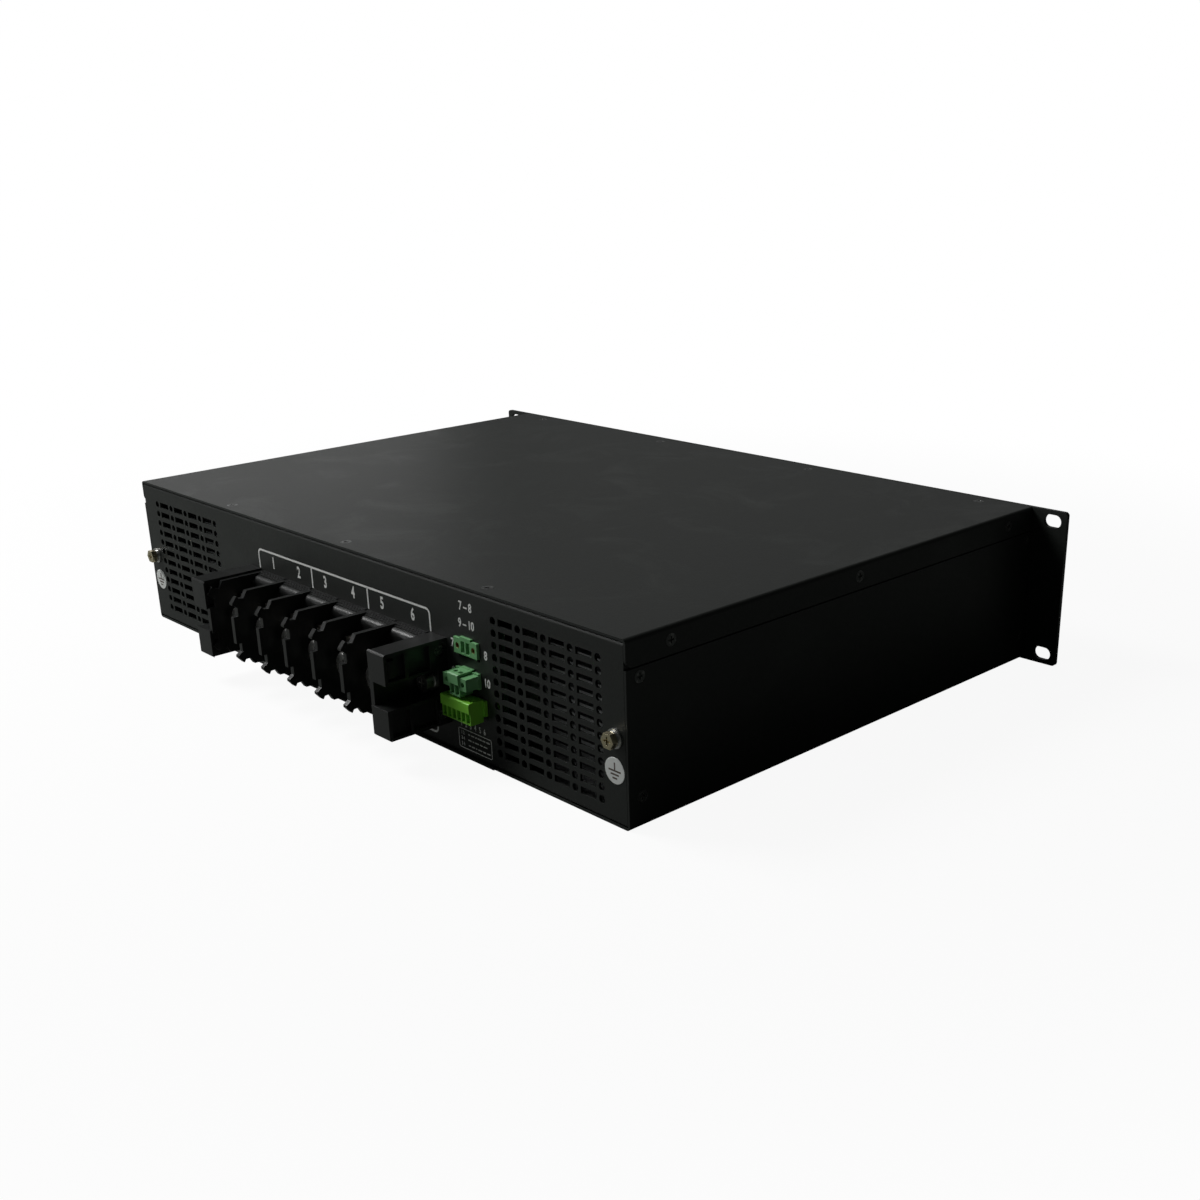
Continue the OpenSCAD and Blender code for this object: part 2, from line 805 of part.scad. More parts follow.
// Section of an end bracket's arms and back wall, with a small bevel on the front edges
module bracket_outline() {
  bevel = 0.8;
  difference() {
    polygon([[0, -end_half], [end_out - bevel, -end_half], [end_out, bevel - end_half],
             [end_out, end_half - bevel], [end_out - bevel, end_half], [0, end_half]]);
    translate([end_wall, -recess_half]) square([end_out, 2 * recess_half]);
  }
}

// Pockets in the outer side of one arm: where each starts and ends, from the arm's front
module arm_pockets(spans) {
  for (span = spans)
    translate([end_w - pocket_depth, end_out - span[1], recess_half + pocket_wall])
      cube([pocket_depth + 1, span[1] - span[0], end_half - recess_half - 2 * pocket_wall]);
}
pocket_wall = 1.6;

// End bracket: x = 0 at its inner side, x = end_w at its outer side
module bracket() {
  difference() {
    union() {
      profile_along_x(end_w) bracket_outline();
      difference() {
        translate([-end_lap, 0, 0]) profile_along_x(end_lap + 1) bracket_outline();
        translate([-barrier_t - 1, -1, -end_half - 1]) cube([barrier_t + 1, barrier_out + 1.1, 2 * end_half + 2]);
      }
    }
    difference() {
      arm_pockets([[1.8, 11.5], [13.5, 25.8]]);
      translate([end_w - pocket_depth - 1, end_out - 6.6, recess_half + pocket_wall + 1.4])
        cube([pocket_depth + 0.4, 4.2, 8.6]);
    }
    mirror([0, 0, 1]) arm_pockets([[2, 12.5], [13.8, 27.6]]);
    translate([end_w / 2, -1, 0]) rotate([-90, 0, 0]) cylinder(h = end_wall + 2, d = fixing_d + 2 * screw_play);
    rod_holes(end_w);
    for (side = [-1, 1])
      translate([end_w - 2.6, rod_y, side * rod_h]) rotate([0, 90, 0]) cylinder(h = 3, d = rod_d + 3);
  }
}

module terminal_end_1() {
  color("#101211")
  at_rear() translate([0, 0, block_z]) {
    translate([bracket_x, 0, 0]) bracket();
    translate([block_half - barrier_t / 2, 0, 0])
      difference() {
        profile_along_x(barrier_t) barrier_outline();
        rod_holes(barrier_t);
      }
  }
}

module terminal_end_2() {
  color("#101211")
  at_rear() translate([-bracket_x, 0, block_z]) mirror([1, 0, 0]) bracket();
}

module terminal_tie_rods() {
  reach = bracket_x + end_w - 0.5;
  color("#8c8c88")
  at_rear()
    for (side = [-1, 1])
      translate([0, rod_y, block_z + side * rod_h]) rotate([0, 90, 0]) {
        translate([0, 0, -reach]) cylinder(h = 2 * reach, d = rod_d);
        for (end = [-1, 1])
          translate([0, 0, end * (reach - 1)])
            difference() {
              cylinder(h = 2, d = rod_d + 2.6, center = true);
              translate([0, 0, end]) cube([0.9, rod_d + 3, 1.6], center = true);
            }
      }
}

// Screw, spring washer and flat washer that hold each end bracket
module terminal_fixing_screws() {
  color("#b4b4b0")
  at_rear()
    for (side = [-1, 1])
      translate([side * end_mid_x, end_wall, block_z]) rotate([-90, 0, 0]) {
        washer(fixing_d + 5, fixing_d + 0.4, 1);
        translate([0, 0, 1]) washer(fixing_d + 3.6, fixing_d + 0.4, 1.3);
        difference() {
          union() {
            translate([0, 0, 2.3]) cylinder(h = 3.4, d = fixing_d + 4);
            translate([0, 0, -end_wall - 4]) cylinder(h = end_wall + 6.3, d = fixing_d);
          }
          translate([0, 0, 5.7]) cross_recess(fixing_d, 1, 1.8);
        }
      }
}

module at_poles() {
  at_rear()
    for (k = [1 : pole_count])
      translate([pole_x(k), 0, block_z]) children();
}

// Bent bars that carry the current from the bolts through the panel
module terminal_bars() {
  color("#c9a27a")
  at_poles()
    difference() {
      union() {
        translate([-bar_w / 2, pedestal_out, leg_top - bar_t]) cube([bar_w, bar_t, pedestal_half + 1.6 - leg_top + bar_t]);
        translate([-bar_w / 2, -bar_in, leg_top - bar_t]) cube([bar_w, bar_in + pedestal_out + 1, bar_t]);
      }
      translate([0, pedestal_out - 1, 0]) rotate([-90, 0, 0]) cylinder(h = bar_t + 2, d = bolt_d + 0.5);
      translate([0, busbar_foot_y, leg_top - bar_t - 1]) cylinder(h = bar_t + 2, d = busbar_bolt_d + 0.4);
    }
}
busbar_foot_y = -bar_in + busbar_w / 2;

module terminal_nuts() {
  color("#b8b8b8")
  at_poles()
    translate([0, pedestal_out - 0.1, 0]) rotate([90, 0, 0])
      difference() {
        linear_extrude(bolt_nut_t) hexagon(bolt_nut_af);
        translate([0, 0, -1]) cylinder(h = bolt_nut_t + 2, d = bolt_d + 0.2);
      }
}

// A flat washer and a spring washer under each terminal bolt
module terminal_washers() {
  color("#d0d0cc")
  at_poles()
    translate([0, washer_y, 0]) rotate([-90, 0, 0]) {
      washer(bolt_washer_d, bolt_d + 0.6, bolt_washer_t);
      translate([0, 0, bolt_washer_t]) washer(bolt_spring_d, bolt_d + 0.6, bolt_spring_t);
    }
}

module terminal_bolts() {
  shank = head_y - 3.4;
  color("#c4c4c0")
  at_poles()
    translate([0, head_y, 0]) rotate([-90, 0, 0])
      difference() {
        union() {
          cylinder(h = bolt_head_h - 0.8, d = bolt_head_d);
          translate([0, 0, bolt_head_h - 0.8]) cylinder(h = 0.8, d1 = bolt_head_d, d2 = bolt_head_d - 1.6);
          translate([0, 0, -shank]) cylinder(h = shank, d = bolt_d);
        }
        translate([0, 0, bolt_head_h]) cross_recess(bolt_d, 1.6, 2.6);
      }
}

// ---- signal ports: drawn with x = 0 at the port's middle and z = 0 at its axis ----

// Outline of a socket: a shroud for the pins and a lug on each side where it has them
module socket_outline(poles, pitch, lugs, grow) {
  w = socket_w(poles, pitch, lugs);
  square([w + 2 * grow, port_h + 2 * grow], center = true);
  if (lugs) {
    translate([-w / 2 - grow, 0]) square([w + 2 * grow, port_h / 2 + port_key + grow]);
    square([w + 2 * (port_lug_w + grow), port_h + 2 * grow], center = true);
  }
}

function socket_w(poles, pitch, lugs) = poles * pitch + 2 * (lugs ? port_wall : contact_wall);
function lug_x(poles, pitch) = socket_w(poles, pitch, true) / 2 + port_lug_hole;

module socket(poles, pitch, lugs) {
  difference() {
    translate([0, port_out, 0]) profile_along_y(port_out + port_in) socket_outline(poles, pitch, lugs, 0);
    for (i = [0 : poles - 1])
      translate([(i - (poles - 1) / 2) * pitch, 0, 0]) {
        translate([-pitch / 2 + 0.5, -port_in + 2.4, -port_h / 2 + 1])
          cube([pitch - 1, port_in + port_out, port_h - 2]);
        translate([0, 0, 0]) rotate([90, 0, 0]) cylinder(h = port_in + 1, d = 1.3);
      }
    if (lugs)
      for (side = [-1, 1])
        translate([side * lug_x(poles, pitch), port_out + 1, 0]) rotate([90, 0, 0]) cylinder(h = 8, d = 3);
  }
}

module at_port(z) {
  at_rear() translate([-port_x, 0, z]) children();
}

module serial_socket() {
  color("#3fae5a") at_port(serial_z) socket(2, port_pitch, true);
}

module alarm_socket() {
  color("#3fae5a") at_port(alarm_z) socket(2, port_pitch, true);
}

module contact_socket() {
  color("#2f8f3a") at_port(contact_z) socket(6, contact_pitch, false);
}

// A pluggable screw connector: wire openings low on the front, clamp screws in the top
module plug(poles, pitch, lugs) {
  w = poles * pitch + 0.3;
  top = plug_h / 2;
  lug_h = port_h - 1.6;
  lug_end = socket_w(poles, pitch, true) / 2 + port_lug_w;
  difference() {
    union() {
      translate([-w / 2, port_out, -plug_drop]) profile_along_x(w)
        polygon([[0, -top], [plug_out - 0.8, -top], [plug_out - 0.8, top - plug_head_h],
                 [plug_out, top - plug_head_h], [plug_out, top - 0.5], [plug_out - 0.5, top], [0, top]]);
      for (i = [0 : poles - 1])
        translate([(i - (poles - 1) / 2) * pitch - pitch / 2 + 0.75, -3.5, -port_h / 2 + 1.25])
          cube([pitch - 1.5, port_out + 4, port_h - 2.5]);
      if (lugs)
        translate([0, port_out, -lug_h / 2]) {
          translate([-lug_end, 0, 0]) cube([2 * lug_end, 3, lug_h]);
          for (x = [-lug_end, lug_end - port_lug_w])
            translate([x, 0, 0]) cube([port_lug_w, plug_lug_l, lug_h]);
        }
    }
    for (i = [0 : poles - 1])
      translate([(i - (poles - 1) / 2) * pitch, 0, 0]) {
        translate([-pitch / 2 + 0.5, port_out + 3, -plug_drop - top + 0.7])
          cube([pitch - 1, plug_out, plug_h - plug_head_h - 1.3]);
        translate([0, port_out + plug_out * 0.55, top - plug_drop - 2.4]) cylinder(h = 4, d = pitch - 1.2);
      }
    if (lugs)
      for (side = [-1, 1])
        translate([side * lug_x(poles, pitch), port_out + plug_lug_l + 1, 0]) rotate([90, 0, 0])
          cylinder(h = plug_lug_l + 2, d = 2.6);
  }
}

module alarm_plug() {
  color("#46b45e") at_port(alarm_z) plug(2, port_pitch, true);
}

module contact_plug() {
  color("#6fdc36") at_port(contact_z) plug(6, contact_pitch, false);
}

// Brass inserts in the lugs of the two-pole sockets
module socket_inserts() {
  color("#c8a24a")
  for (z = [serial_z, alarm_z])
    at_port(z)
      for (side = [-1, 1])
        translate([side * lug_x(2, port_pitch), port_out - 0.2, 0]) rotate([90, 0, 0]) washer(2.9, 1.7, 6);
}

// Square pins soldered to the interface board, one in each pole of each socket
module port_pins() {
  color("#d8d8d8") {
    at_port(serial_z) pins(2, port_pitch, -1);
    at_port(alarm_z) pins(2, port_pitch, -4);
    at_port(contact_z) pins(6, contact_pitch, -4);
  }
}

module pins(poles, pitch, tip) {
  for (i = [0 : poles - 1])
    translate([(i - (poles - 1) / 2) * pitch, 0, 0])
      translate([-0.4, -port_in - board_t - 1, -0.4]) cube([0.8, port_in + board_t + 1 + tip, 0.8]);
}

// Slotted screws in the tops of the plugs
module clamp_screws() {
  color("#cfcfcf") {
    at_port(alarm_z) clamp_row(2, port_pitch);
    at_port(contact_z) clamp_row(6, contact_pitch);
  }
}

module clamp_row(poles, pitch) {
  for (i = [0 : poles - 1])
    translate([(i - (poles - 1) / 2) * pitch, port_out + plug_out * 0.55, plug_h / 2 - plug_drop - 2.4])
      difference() {
        cylinder(h = 1.6, d = pitch - 1.6);
        translate([0, 0, 1.6]) cube([pitch, 0.6, 1.2], center = true);
      }
}

module interface_board() {
  board_w = 27;
  low = contact_z - 9;
  high = serial_z + 8;
  color("#1f6b3a")
  at_rear()
    translate([-port_x, -port_in, 0])
      difference() {
        translate([-board_w / 2, -board_t, low]) cube([board_w, board_t, high - low]);
        for (z = [serial_z, alarm_z])
          translate([0, 0, z]) pin_holes(2, port_pitch);
        translate([0, 0, contact_z]) pin_holes(6, contact_pitch);
      }
}

module pin_holes(poles, pitch) {
  for (i = [0 : poles - 1])
    translate([(i - (poles - 1) / 2) * pitch, 1, 0]) rotate([90, 0, 0]) cylinder(h = board_t + 2, d = 1.3);
}

// ---- heat sinks and thyristors: drawn on the +X side ----

fin_pitch = (sink_h - sink_fin_t) / (sink_fin_count - 1);
sink_foot_t = 4;

// A finned extrusion that stands on the floor, with its base towards the middle
module heat_sink() {
  at_rear()
    translate([0, -sink_rear, sheet_t])
      difference() {
        profile_along_y(sink_len) {
          translate([sink_x, 0]) square([sink_base_t, sink_h]);
          translate([sink_x, 0]) square([sink_base_t + sink_fin_l, sink_foot_t]);
          for (i = [1 : sink_fin_count - 1])
            translate([sink_x + sink_base_t - 1, i * fin_pitch]) square([sink_fin_l + 1, sink_fin_t]);
        }
        for (y = [module_rear - sink_rear + 5.5, module_rear - sink_rear + module_l - 5.5])
          for (step = [0, module_l + module_gap])
            translate([sink_x - 1, -y - step, module_z - sheet_t]) rotate([0, 90, 0])
              cylinder(h = sink_base_t, d = fixing_d + 0.3);
        for (y = [15, sink_len - 15])
          translate([sink_x + sink_base_t + sink_fin_l / 2, -y, -1])
            cylinder(h = sink_foot_t - 0.5, d = screw_d + 2 * screw_play);
      }
}

module heat_sink_1() {
  color("#b9bcbd") heat_sink();
}

module heat_sink_2() {
  color("#b9bcbd") mirror([1, 0, 0]) heat_sink();
}

// Holes in the floor under the heat sinks' feet and the standoffs; children point up
module at_floor_screws() {
  at_rear()
    for (side = [-1, 1])
      for (y = [15, sink_len - 15])
        translate([side * (sink_x + sink_base_t + sink_fin_l / 2), -sink_rear - y, 0])
          rotate([180, 0, 0]) children();
}

module heat_sink_screws() {
  color("#2c2c2c") at_floor_screws() flush_screw(screw_len - 2.4);
}

// A sealed power module on the heat sink's inner face, with two terminal seats and four gate pins
module thyristor(step) {
  at_rear()
    translate([sink_x, -module_rear - step, module_z]) rotate([0, -90, 0]) {
      difference() {
        union() {
          translate([-module_w / 2, -module_l, 0]) cube([module_w, module_l, module_base_t]);
          translate([-module_w / 2 + 1, -module_l + 11, module_base_t - 1])
            cube([module_w - 2, module_l - 22, module_h - module_base_t - 3]);
          for (y = [module_terminal, module_l - module_terminal])
            translate([-9, -y - 9, module_base_t]) cube([18, 18, module_h - module_base_t - tiny]);
          translate([-module_w / 2 + 3, -module_l / 2 - 7, module_base_t]) cube([5, 14, module_h - 7]);
        }
        for (y = [5.5, module_l - 5.5])
          translate([0, -y, -1]) cylinder(h = module_h + 2, d = fixing_d + 0.5);
        for (y = [module_terminal, module_l - module_terminal])
          translate([0, -y, module_h - 9]) cylinder(h = 10, d = busbar_bolt_d + 0.4);
      }
    }
}

module thyristor_line_1() {
  color("#2b2b2b") thyristor(0);
}

module thyristor_neutral_1() {
  color("#2b2b2b") thyristor(module_l + module_gap);
}

module thyristor_line_2() {
  color("#2b2b2b") mirror([1, 0, 0]) thyristor(0);
}

module thyristor_neutral_2() {
  color("#2b2b2b") mirror([1, 0, 0]) thyristor(module_l + module_gap);
}

// Two screws through each module's base into the heat sink
module thyristor_screws() {
  color("#c4c4c0")
  both_sides()
    at_rear()
      for (y = [5.5, module_l - 5.5])
        for (step = [0, module_l + module_gap])
          translate([sink_x - module_base_t, -module_rear - y - step, module_z]) rotate([0, -90, 0])
            difference() {
              union() {
                cylinder(h = 4, d = 8.6);
                translate([0, 0, -8]) cylinder(h = 8, d = fixing_d);
              }
              translate([0, 0, 4]) linear_extrude(4, center = true) hexagon(4);
            }
}

// ---- busbars: each starts on a pole's bar, rises to its own level and ends on a terminal ----

function terminal_y(step, far) = -module_rear - step - (far ? module_l - module_terminal : module_terminal);
module_face = sink_x - module_h;
busbar_foot_z = block_z + leg_top;
rise_y = -bar_in - busbar_t;

// A flat strip between two points of one level
module strip(from, to, z) {
  x0 = min(from[0], to[0]) - busbar_w / 2;
  y0 = min(from[1], to[1]) - busbar_w / 2;
  translate([x0, y0, z])
    cube([abs(from[0] - to[0]) + busbar_w, abs(from[1] - to[1]) + busbar_w, busbar_t]);
}

// Height of a level: the lowest runs under the modules' terminal screws, the others above them
function level_z(level) = module_z + (level == 0 ? -6.4 - busbar_t : 5.6 + (level - 1) * busbar_step);

// The foot on the pole's bar and the riser behind it
module busbar_start(x, z) {
  translate([x - busbar_w / 2, rise_y, busbar_foot_z]) cube([busbar_w, busbar_w + busbar_t, busbar_t]);
  translate([x - busbar_w / 2, rise_y, busbar_foot_z]) cube([busbar_w, busbar_t, z - busbar_foot_z + busbar_t]);
}

// The upright plate that a busbar's end is bolted to a module with, on the side given
module busbar_end(side, y, z) {
  face = module_face - busbar_t;
  low = min(z, module_z - busbar_w / 2);
  high = max(z + busbar_t, module_z + busbar_w / 2);
  translate([side > 0 ? face : -module_face, y - busbar_w / 2, low]) cube([busbar_t, busbar_w, high - low]);
}

module end_bolt_hole(side, y) {
  translate([side * module_face, y, module_z]) rotate([0, 90, 0])
    cylinder(h = 4 * busbar_t, d = busbar_bolt_d + 0.4, center = true);
}

module foot_bolt_hole(x) {
  translate([x, busbar_foot_y, busbar_foot_z - 1]) cylinder(h = busbar_t + 2, d = busbar_bolt_d + 0.4);
}

// From pole k to one terminal on the side given
module source_busbar(k, side, y, level) {
  z = level_z(level);
  x = pole_x(k);
  far = side * (module_face - busbar_w / 2);
  turn = rise_y + busbar_t - busbar_w / 2;
  difference() {
    union() {
      busbar_start(x, z);
      strip([x, turn], [x, y], z);
      strip([x, y], [far, y], z);
      busbar_end(side, y, z);
    }
    foot_bolt_hole(x);
    end_bolt_hole(side, y);
  }
}

// From pole k across to the same terminal on both sides
module output_busbar(k, y, level) {
  z = level_z(level);
  x = pole_x(k);
  far = module_face - busbar_w / 2;
  difference() {
    union() {
      busbar_start(x, z);
      strip([x, rise_y + busbar_t - busbar_w / 2], [x, y], z);
      strip([-far, y], [far, y], z);
      busbar_end(1, y, z);
      busbar_end(-1, y, z);
    }
    foot_bolt_hole(x);
    end_bolt_hole(1, y);
    end_bolt_hole(-1, y);
  }
}

line_in = terminal_y(0, false);
line_out = terminal_y(0, true);
neutral_in = terminal_y(module_l + module_gap, false);
neutral_out = terminal_y(module_l + module_gap, true);

module source_1_busbars() {
  color("#c77d4f")
  at_rear() {
    source_busbar(1, 1, line_in, 0);
    source_busbar(2, 1, neutral_in, 1);
  }
}

module source_2_busbars() {
  color("#c77d4f")
  at_rear() {
    source_busbar(6, -1, line_in, 0);
    source_busbar(5, -1, neutral_in, 1);
  }
}

module output_line_busbar() {
  color("#c77d4f") at_rear() output_busbar(3, line_out, 2);
}

module output_neutral_busbar() {
  color("#c77d4f") at_rear() output_busbar(4, neutral_out, 3);
}

// Bolts through the feet, and screws into the modules' terminals
module busbar_bolts() {
  below = bar_t + 0.5;
  color("#c4c4c0")
  at_rear() {
    for (k = [1 : pole_count])
      translate([pole_x(k), busbar_foot_y, busbar_foot_z + busbar_t]) {
        linear_extrude(3) hexagon(8);
        translate([0, 0, -busbar_t - below - 4]) cylinder(h = busbar_t + below + 4, d = busbar_bolt_d);
        translate([0, 0, -busbar_t - bar_t - 3.5])
          difference() {
            linear_extrude(3.5) hexagon(8);
            translate([0, 0, -1]) cylinder(h = 6, d = busbar_bolt_d + 0.2);
          }
      }
    for (side = [-1, 1])
      for (y = [line_in, line_out, neutral_in, neutral_out])
        translate([side * (module_face - busbar_t), y, module_z]) rotate([0, -90 * side, 0]) {
          linear_extrude(3) hexagon(8);
          translate([0, 0, -busbar_t - 5]) cylinder(h = busbar_t + 5, d = busbar_bolt_d);
        }
  }
}

// Rings that the output busbars' risers pass through
module current_sensors() {
  window = 0.6;
  color("#1d4f86")
  at_rear()
    for (k = [3, 4])
      translate([pole_x(k), rise_y + busbar_t / 2, busbar_foot_z + busbar_t])
        difference() {
          translate([0, -2 * busbar_t, sensor_h / 2]) cube([sensor_w, sensor_w - 6, sensor_h], center = true);
          translate([0, 0, sensor_h / 2])
            cube([busbar_w + window, busbar_t + window, sensor_h + 2], center = true);
        }
}

// ---- circuit boards ----

driver_z = module_z + module_w / 2 + 6;
driver_x = sink_x - module_h / 2;

// Gate driver boards above the modules
module driver_boards() {
  board_l = 2 * (module_l - driver_inset) + module_gap;
  color("#1f6b3a")
  both_sides()
    at_rear()
      translate([driver_x - driver_w / 2, -module_rear - driver_inset - board_l, driver_z]) {
        difference() {
          cube([driver_w, board_l, board_t]);
          for (y = driver_posts)
            translate([driver_w / 2, board_l + driver_inset + y, -1]) cylinder(h = board_t + 2, d = screw_d + 0.3);
        }
        for (i = [0 : 2])
          translate([4, board_l + driver_inset + driver_posts[i] - 19, board_t - tiny])
            cube([driver_w - 8, 12, 9]);
      }
}
driver_posts = [for (step = [0, module_l + module_gap]) for (y = [driver_post, module_l - driver_post])
                -step - y];

module driver_standoffs() {
  color("#c8c8c8")
  both_sides()
    at_rear()
      for (y = driver_posts)
        translate([driver_x, -module_rear + y, module_z + module_w / 2 - 1]) {
          linear_extrude(driver_z - module_z - module_w / 2 + 1) hexagon(standoff_af);
          cylinder(h = driver_z - module_z - module_w / 2 + 1 + board_t + 1, d = screw_d);
        }
}

board_z = sheet_t + standoff_h;
control_back = body_d - front_flange - board_front;
supply_x = body_w / 2 - board_side - supply_w;
control_w = 2 * (supply_x - board_gap);
chip_w = 28;
header_x = control_w / 2 - header_side - header_w;
relay_count = floor((control_w / 2 - chip_w / 2 - 14) / relay_pitch);
capacitor_count = floor((header_x - chip_w / 2) / capacitor_pitch - 0.4);
control_posts = [for (x = [-1, 1]) for (y = [4, control_l - 4]) [x * (control_w / 2 - 4), -control_back + y]];

module control_board() {
  at_rear() {
    color("#1f6b3a")
      difference() {
        translate([-control_w / 2, -control_back, board_z]) cube([control_w, control_l, board_t]);
        for (post = control_posts)
          translate([post[0], post[1], board_z - 1]) cylinder(h = board_t + 2, d = screw_d + 0.3);
      }
    translate([0, -control_back, board_z + board_t - tiny]) {
      color("#222222") translate([-chip_w / 2, 16, 0]) cube([chip_w, chip_w, 2.6]);
      color("#2b2b2b")
        for (i = [0 : relay_count - 1])
          translate([14 - control_w / 2 + i * relay_pitch, 10, 0]) cube([relay_w, 30, 16]);
      color("#31446b")
        for (i = [0 : capacitor_count - 1])
          translate([header_x - 12 - i * capacitor_pitch, 14, 0]) cylinder(h = 20, d = capacitor_d);
      color("#1d1d1d") translate([header_x, 8, 0]) cube([header_w, 40, 10]);
    }
  }
}

supply_posts = [for (x = [4, supply_w - 4]) for (y = [4, supply_l - 4]) [supply_x + x, -control_back + y]];

// Auxiliary supply in a front corner, with its transformer, capacitors and fuse
module supply() {
  at_rear() {
    color("#1f6b3a")
      difference() {
        translate([supply_x, -control_back, board_z]) cube([supply_w, supply_l, board_t]);
        for (post = supply_posts)
          translate([post[0], post[1], board_z - 1]) cylinder(h = board_t + 2, d = screw_d + 0.3);
      }
    translate([supply_x, -control_back, board_z + board_t - tiny]) {
      color("#d8b44a") translate([40, 10, 0]) cube([32, 28, 26]);
      color("#262626")
        for (x = [16, 30])
          translate([x, 24, 0]) cylinder(h = 24, d = 12);
      color("#d9d9d0") translate([80, 10, 0]) cube([8, 26, 8]);
    }
  }
}

module supply_board_1() {
  supply();
}

module supply_board_2() {
  mirror([1, 0, 0]) supply();
}

module board_standoffs() {
  posts = concat(control_posts, supply_posts, [for (p = supply_posts) [-p[0], p[1]]]);
  color("#c8c8c8")
  at_rear()
    for (post = posts)
      translate([post[0], post[1], sheet_t]) {
        linear_extrude(standoff_h) hexagon(standoff_af);
        cylinder(h = standoff_h + board_t + 1.4, d = screw_d);
      }
}

display_y = 14;

module display_board() {
  color("#1f6b3a")
  at_front()
    translate([0, display_y, mid_z]) {
      difference() {
        translate([-display_w / 2, 0, -display_h / 2]) cube([display_w, board_t, display_h]);
        for (x = [-1, 1])
          for (z = [-1, 1])
            translate([x * (display_w / 2 - 5), -1, z * (display_h / 2 - 5)]) rotate([-90, 0, 0])
              cylinder(h = board_t + 2, d = screw_d + 0.3);
      }
    }
}

// Liquid crystal display between its board and the front panel
module display_module() {
  color("#3a3d40")
  at_front() {
    translate([0, 0, window_z])
      difference() {
        translate([-window_w / 2 - 4, 0, -window_h / 2 - 4]) cube([window_w + 8, display_y, window_h + 8]);
        translate([-window_w / 2 + 1, -1, -window_h / 2 + 1]) cube([window_w - 2, 3, window_h - 2]);
      }
    for (x = [-1, 1])
      for (z = [-1, 1])
        translate([x * (display_w / 2 - 5), 0, mid_z + z * (display_h / 2 - 5)]) rotate([-90, 0, 0]) {
          cylinder(h = display_y, d = standoff_af);
          cylinder(h = display_y + board_t + 1.4, d = screw_d);
        }
  }
}

module display_window() {
  color("#20282c")
  at_front()
    translate([-window_w / 2 + 0.2, -panel_t, window_z - window_h / 2 + 0.2])
      cube([window_w - 0.4, panel_t, window_h - 0.4]);
}

// Printed film around the window and the status lights
module front_film() {
  film_w = display_w + 10;
  film_h = display_h + 4;
  color("#222725")
  at_front()
    translate([0, -panel_t, 0]) {
      profile_along_y(film_t)
        difference() {
          translate([0, mid_z]) rounded_plate(film_w, film_h, 3);
          translate([0, window_z]) square([window_w - 2, window_h - 2], center = true);
          for (i = [0 : led_count - 1])
            translate([led_x(i), led_z]) circle(d = led_d + 0.3);
        }
    }
}

module status_leds() {
  color("#9fd49a")
  at_front()
    for (i = [0 : led_count - 1])
      translate([led_x(i), -panel_t - film_t + 0.1, led_z]) rotate([-90, 0, 0])
        cylinder(h = panel_t + film_t - 0.1 + display_y, d = led_d);
}

chassis_tray();
top_cover();
rear_panel();
front_frame();
front_panel();
cover_top_screws();
cover_side_screws();
wall_screws();
front_panel_screws();
earth_bolts();
earth_washers();
panel_nuts();
terminal_pole(1);  // terminal_pole_1
terminal_pole(2);  // terminal_pole_2
terminal_pole(3);  // terminal_pole_3
terminal_pole(4);  // terminal_pole_4
terminal_pole(5);  // terminal_pole_5
terminal_pole(6);  // terminal_pole_6
terminal_end_1();
terminal_end_2();
terminal_tie_rods();
terminal_fixing_screws();
terminal_bars();
terminal_nuts();
terminal_washers();
terminal_bolts();
serial_socket();
alarm_socket();
contact_socket();
alarm_plug();
contact_plug();
socket_inserts();
port_pins();
clamp_screws();
interface_board();
heat_sink_1();
heat_sink_2();
thyristor_line_1();
thyristor_neutral_1();
thyristor_line_2();
thyristor_neutral_2();
thyristor_screws();
heat_sink_screws();
source_1_busbars();
source_2_busbars();
output_line_busbar();
output_neutral_busbar();
busbar_bolts();
current_sensors();
driver_boards();
driver_standoffs();
control_board();
supply_board_1();
supply_board_2();
board_standoffs();
display_board();
display_module();
display_window();
front_film();
status_leds();
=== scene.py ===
"""Finishes, print, stickers and studio for the solid model of a rack static transfer switch."""
import json
import math

import bmesh
import bpy
from bpy.props import FloatProperty, FloatVectorProperty, PointerProperty
from mathutils import Matrix, Vector


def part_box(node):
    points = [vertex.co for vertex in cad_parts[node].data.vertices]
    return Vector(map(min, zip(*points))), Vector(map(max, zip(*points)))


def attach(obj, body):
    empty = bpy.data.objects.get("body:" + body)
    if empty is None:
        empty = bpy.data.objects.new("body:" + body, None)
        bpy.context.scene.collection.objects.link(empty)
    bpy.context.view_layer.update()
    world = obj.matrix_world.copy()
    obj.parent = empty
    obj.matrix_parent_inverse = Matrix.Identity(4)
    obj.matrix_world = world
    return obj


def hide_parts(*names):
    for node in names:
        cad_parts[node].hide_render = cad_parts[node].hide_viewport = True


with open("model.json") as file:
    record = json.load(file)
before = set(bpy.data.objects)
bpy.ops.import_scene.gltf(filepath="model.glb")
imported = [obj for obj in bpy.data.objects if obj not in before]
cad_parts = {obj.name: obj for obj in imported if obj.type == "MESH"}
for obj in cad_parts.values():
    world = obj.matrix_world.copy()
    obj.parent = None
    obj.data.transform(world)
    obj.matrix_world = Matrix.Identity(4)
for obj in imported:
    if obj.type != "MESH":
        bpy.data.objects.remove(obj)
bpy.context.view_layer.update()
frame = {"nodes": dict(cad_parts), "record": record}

bl_info = {
    "name": "Rack static transfer switch",
    "version": (1, 0, 0),
    "blender": (4, 5, 0),
    "location": "3D View > Sidebar > Transfer switch",
    "description": "Dresses the solid model of a rack static transfer switch",
    "category": "Object",
}

MM = 0.001
NODES = frame["nodes"]
SLOT_OF = {part["node"]: part["material_slot"] for part in frame["record"]["subparts"]}

REAR_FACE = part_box("rear_panel")[1].y
POLES = [f"terminal_pole_{k}" for k in range(1, 7)]

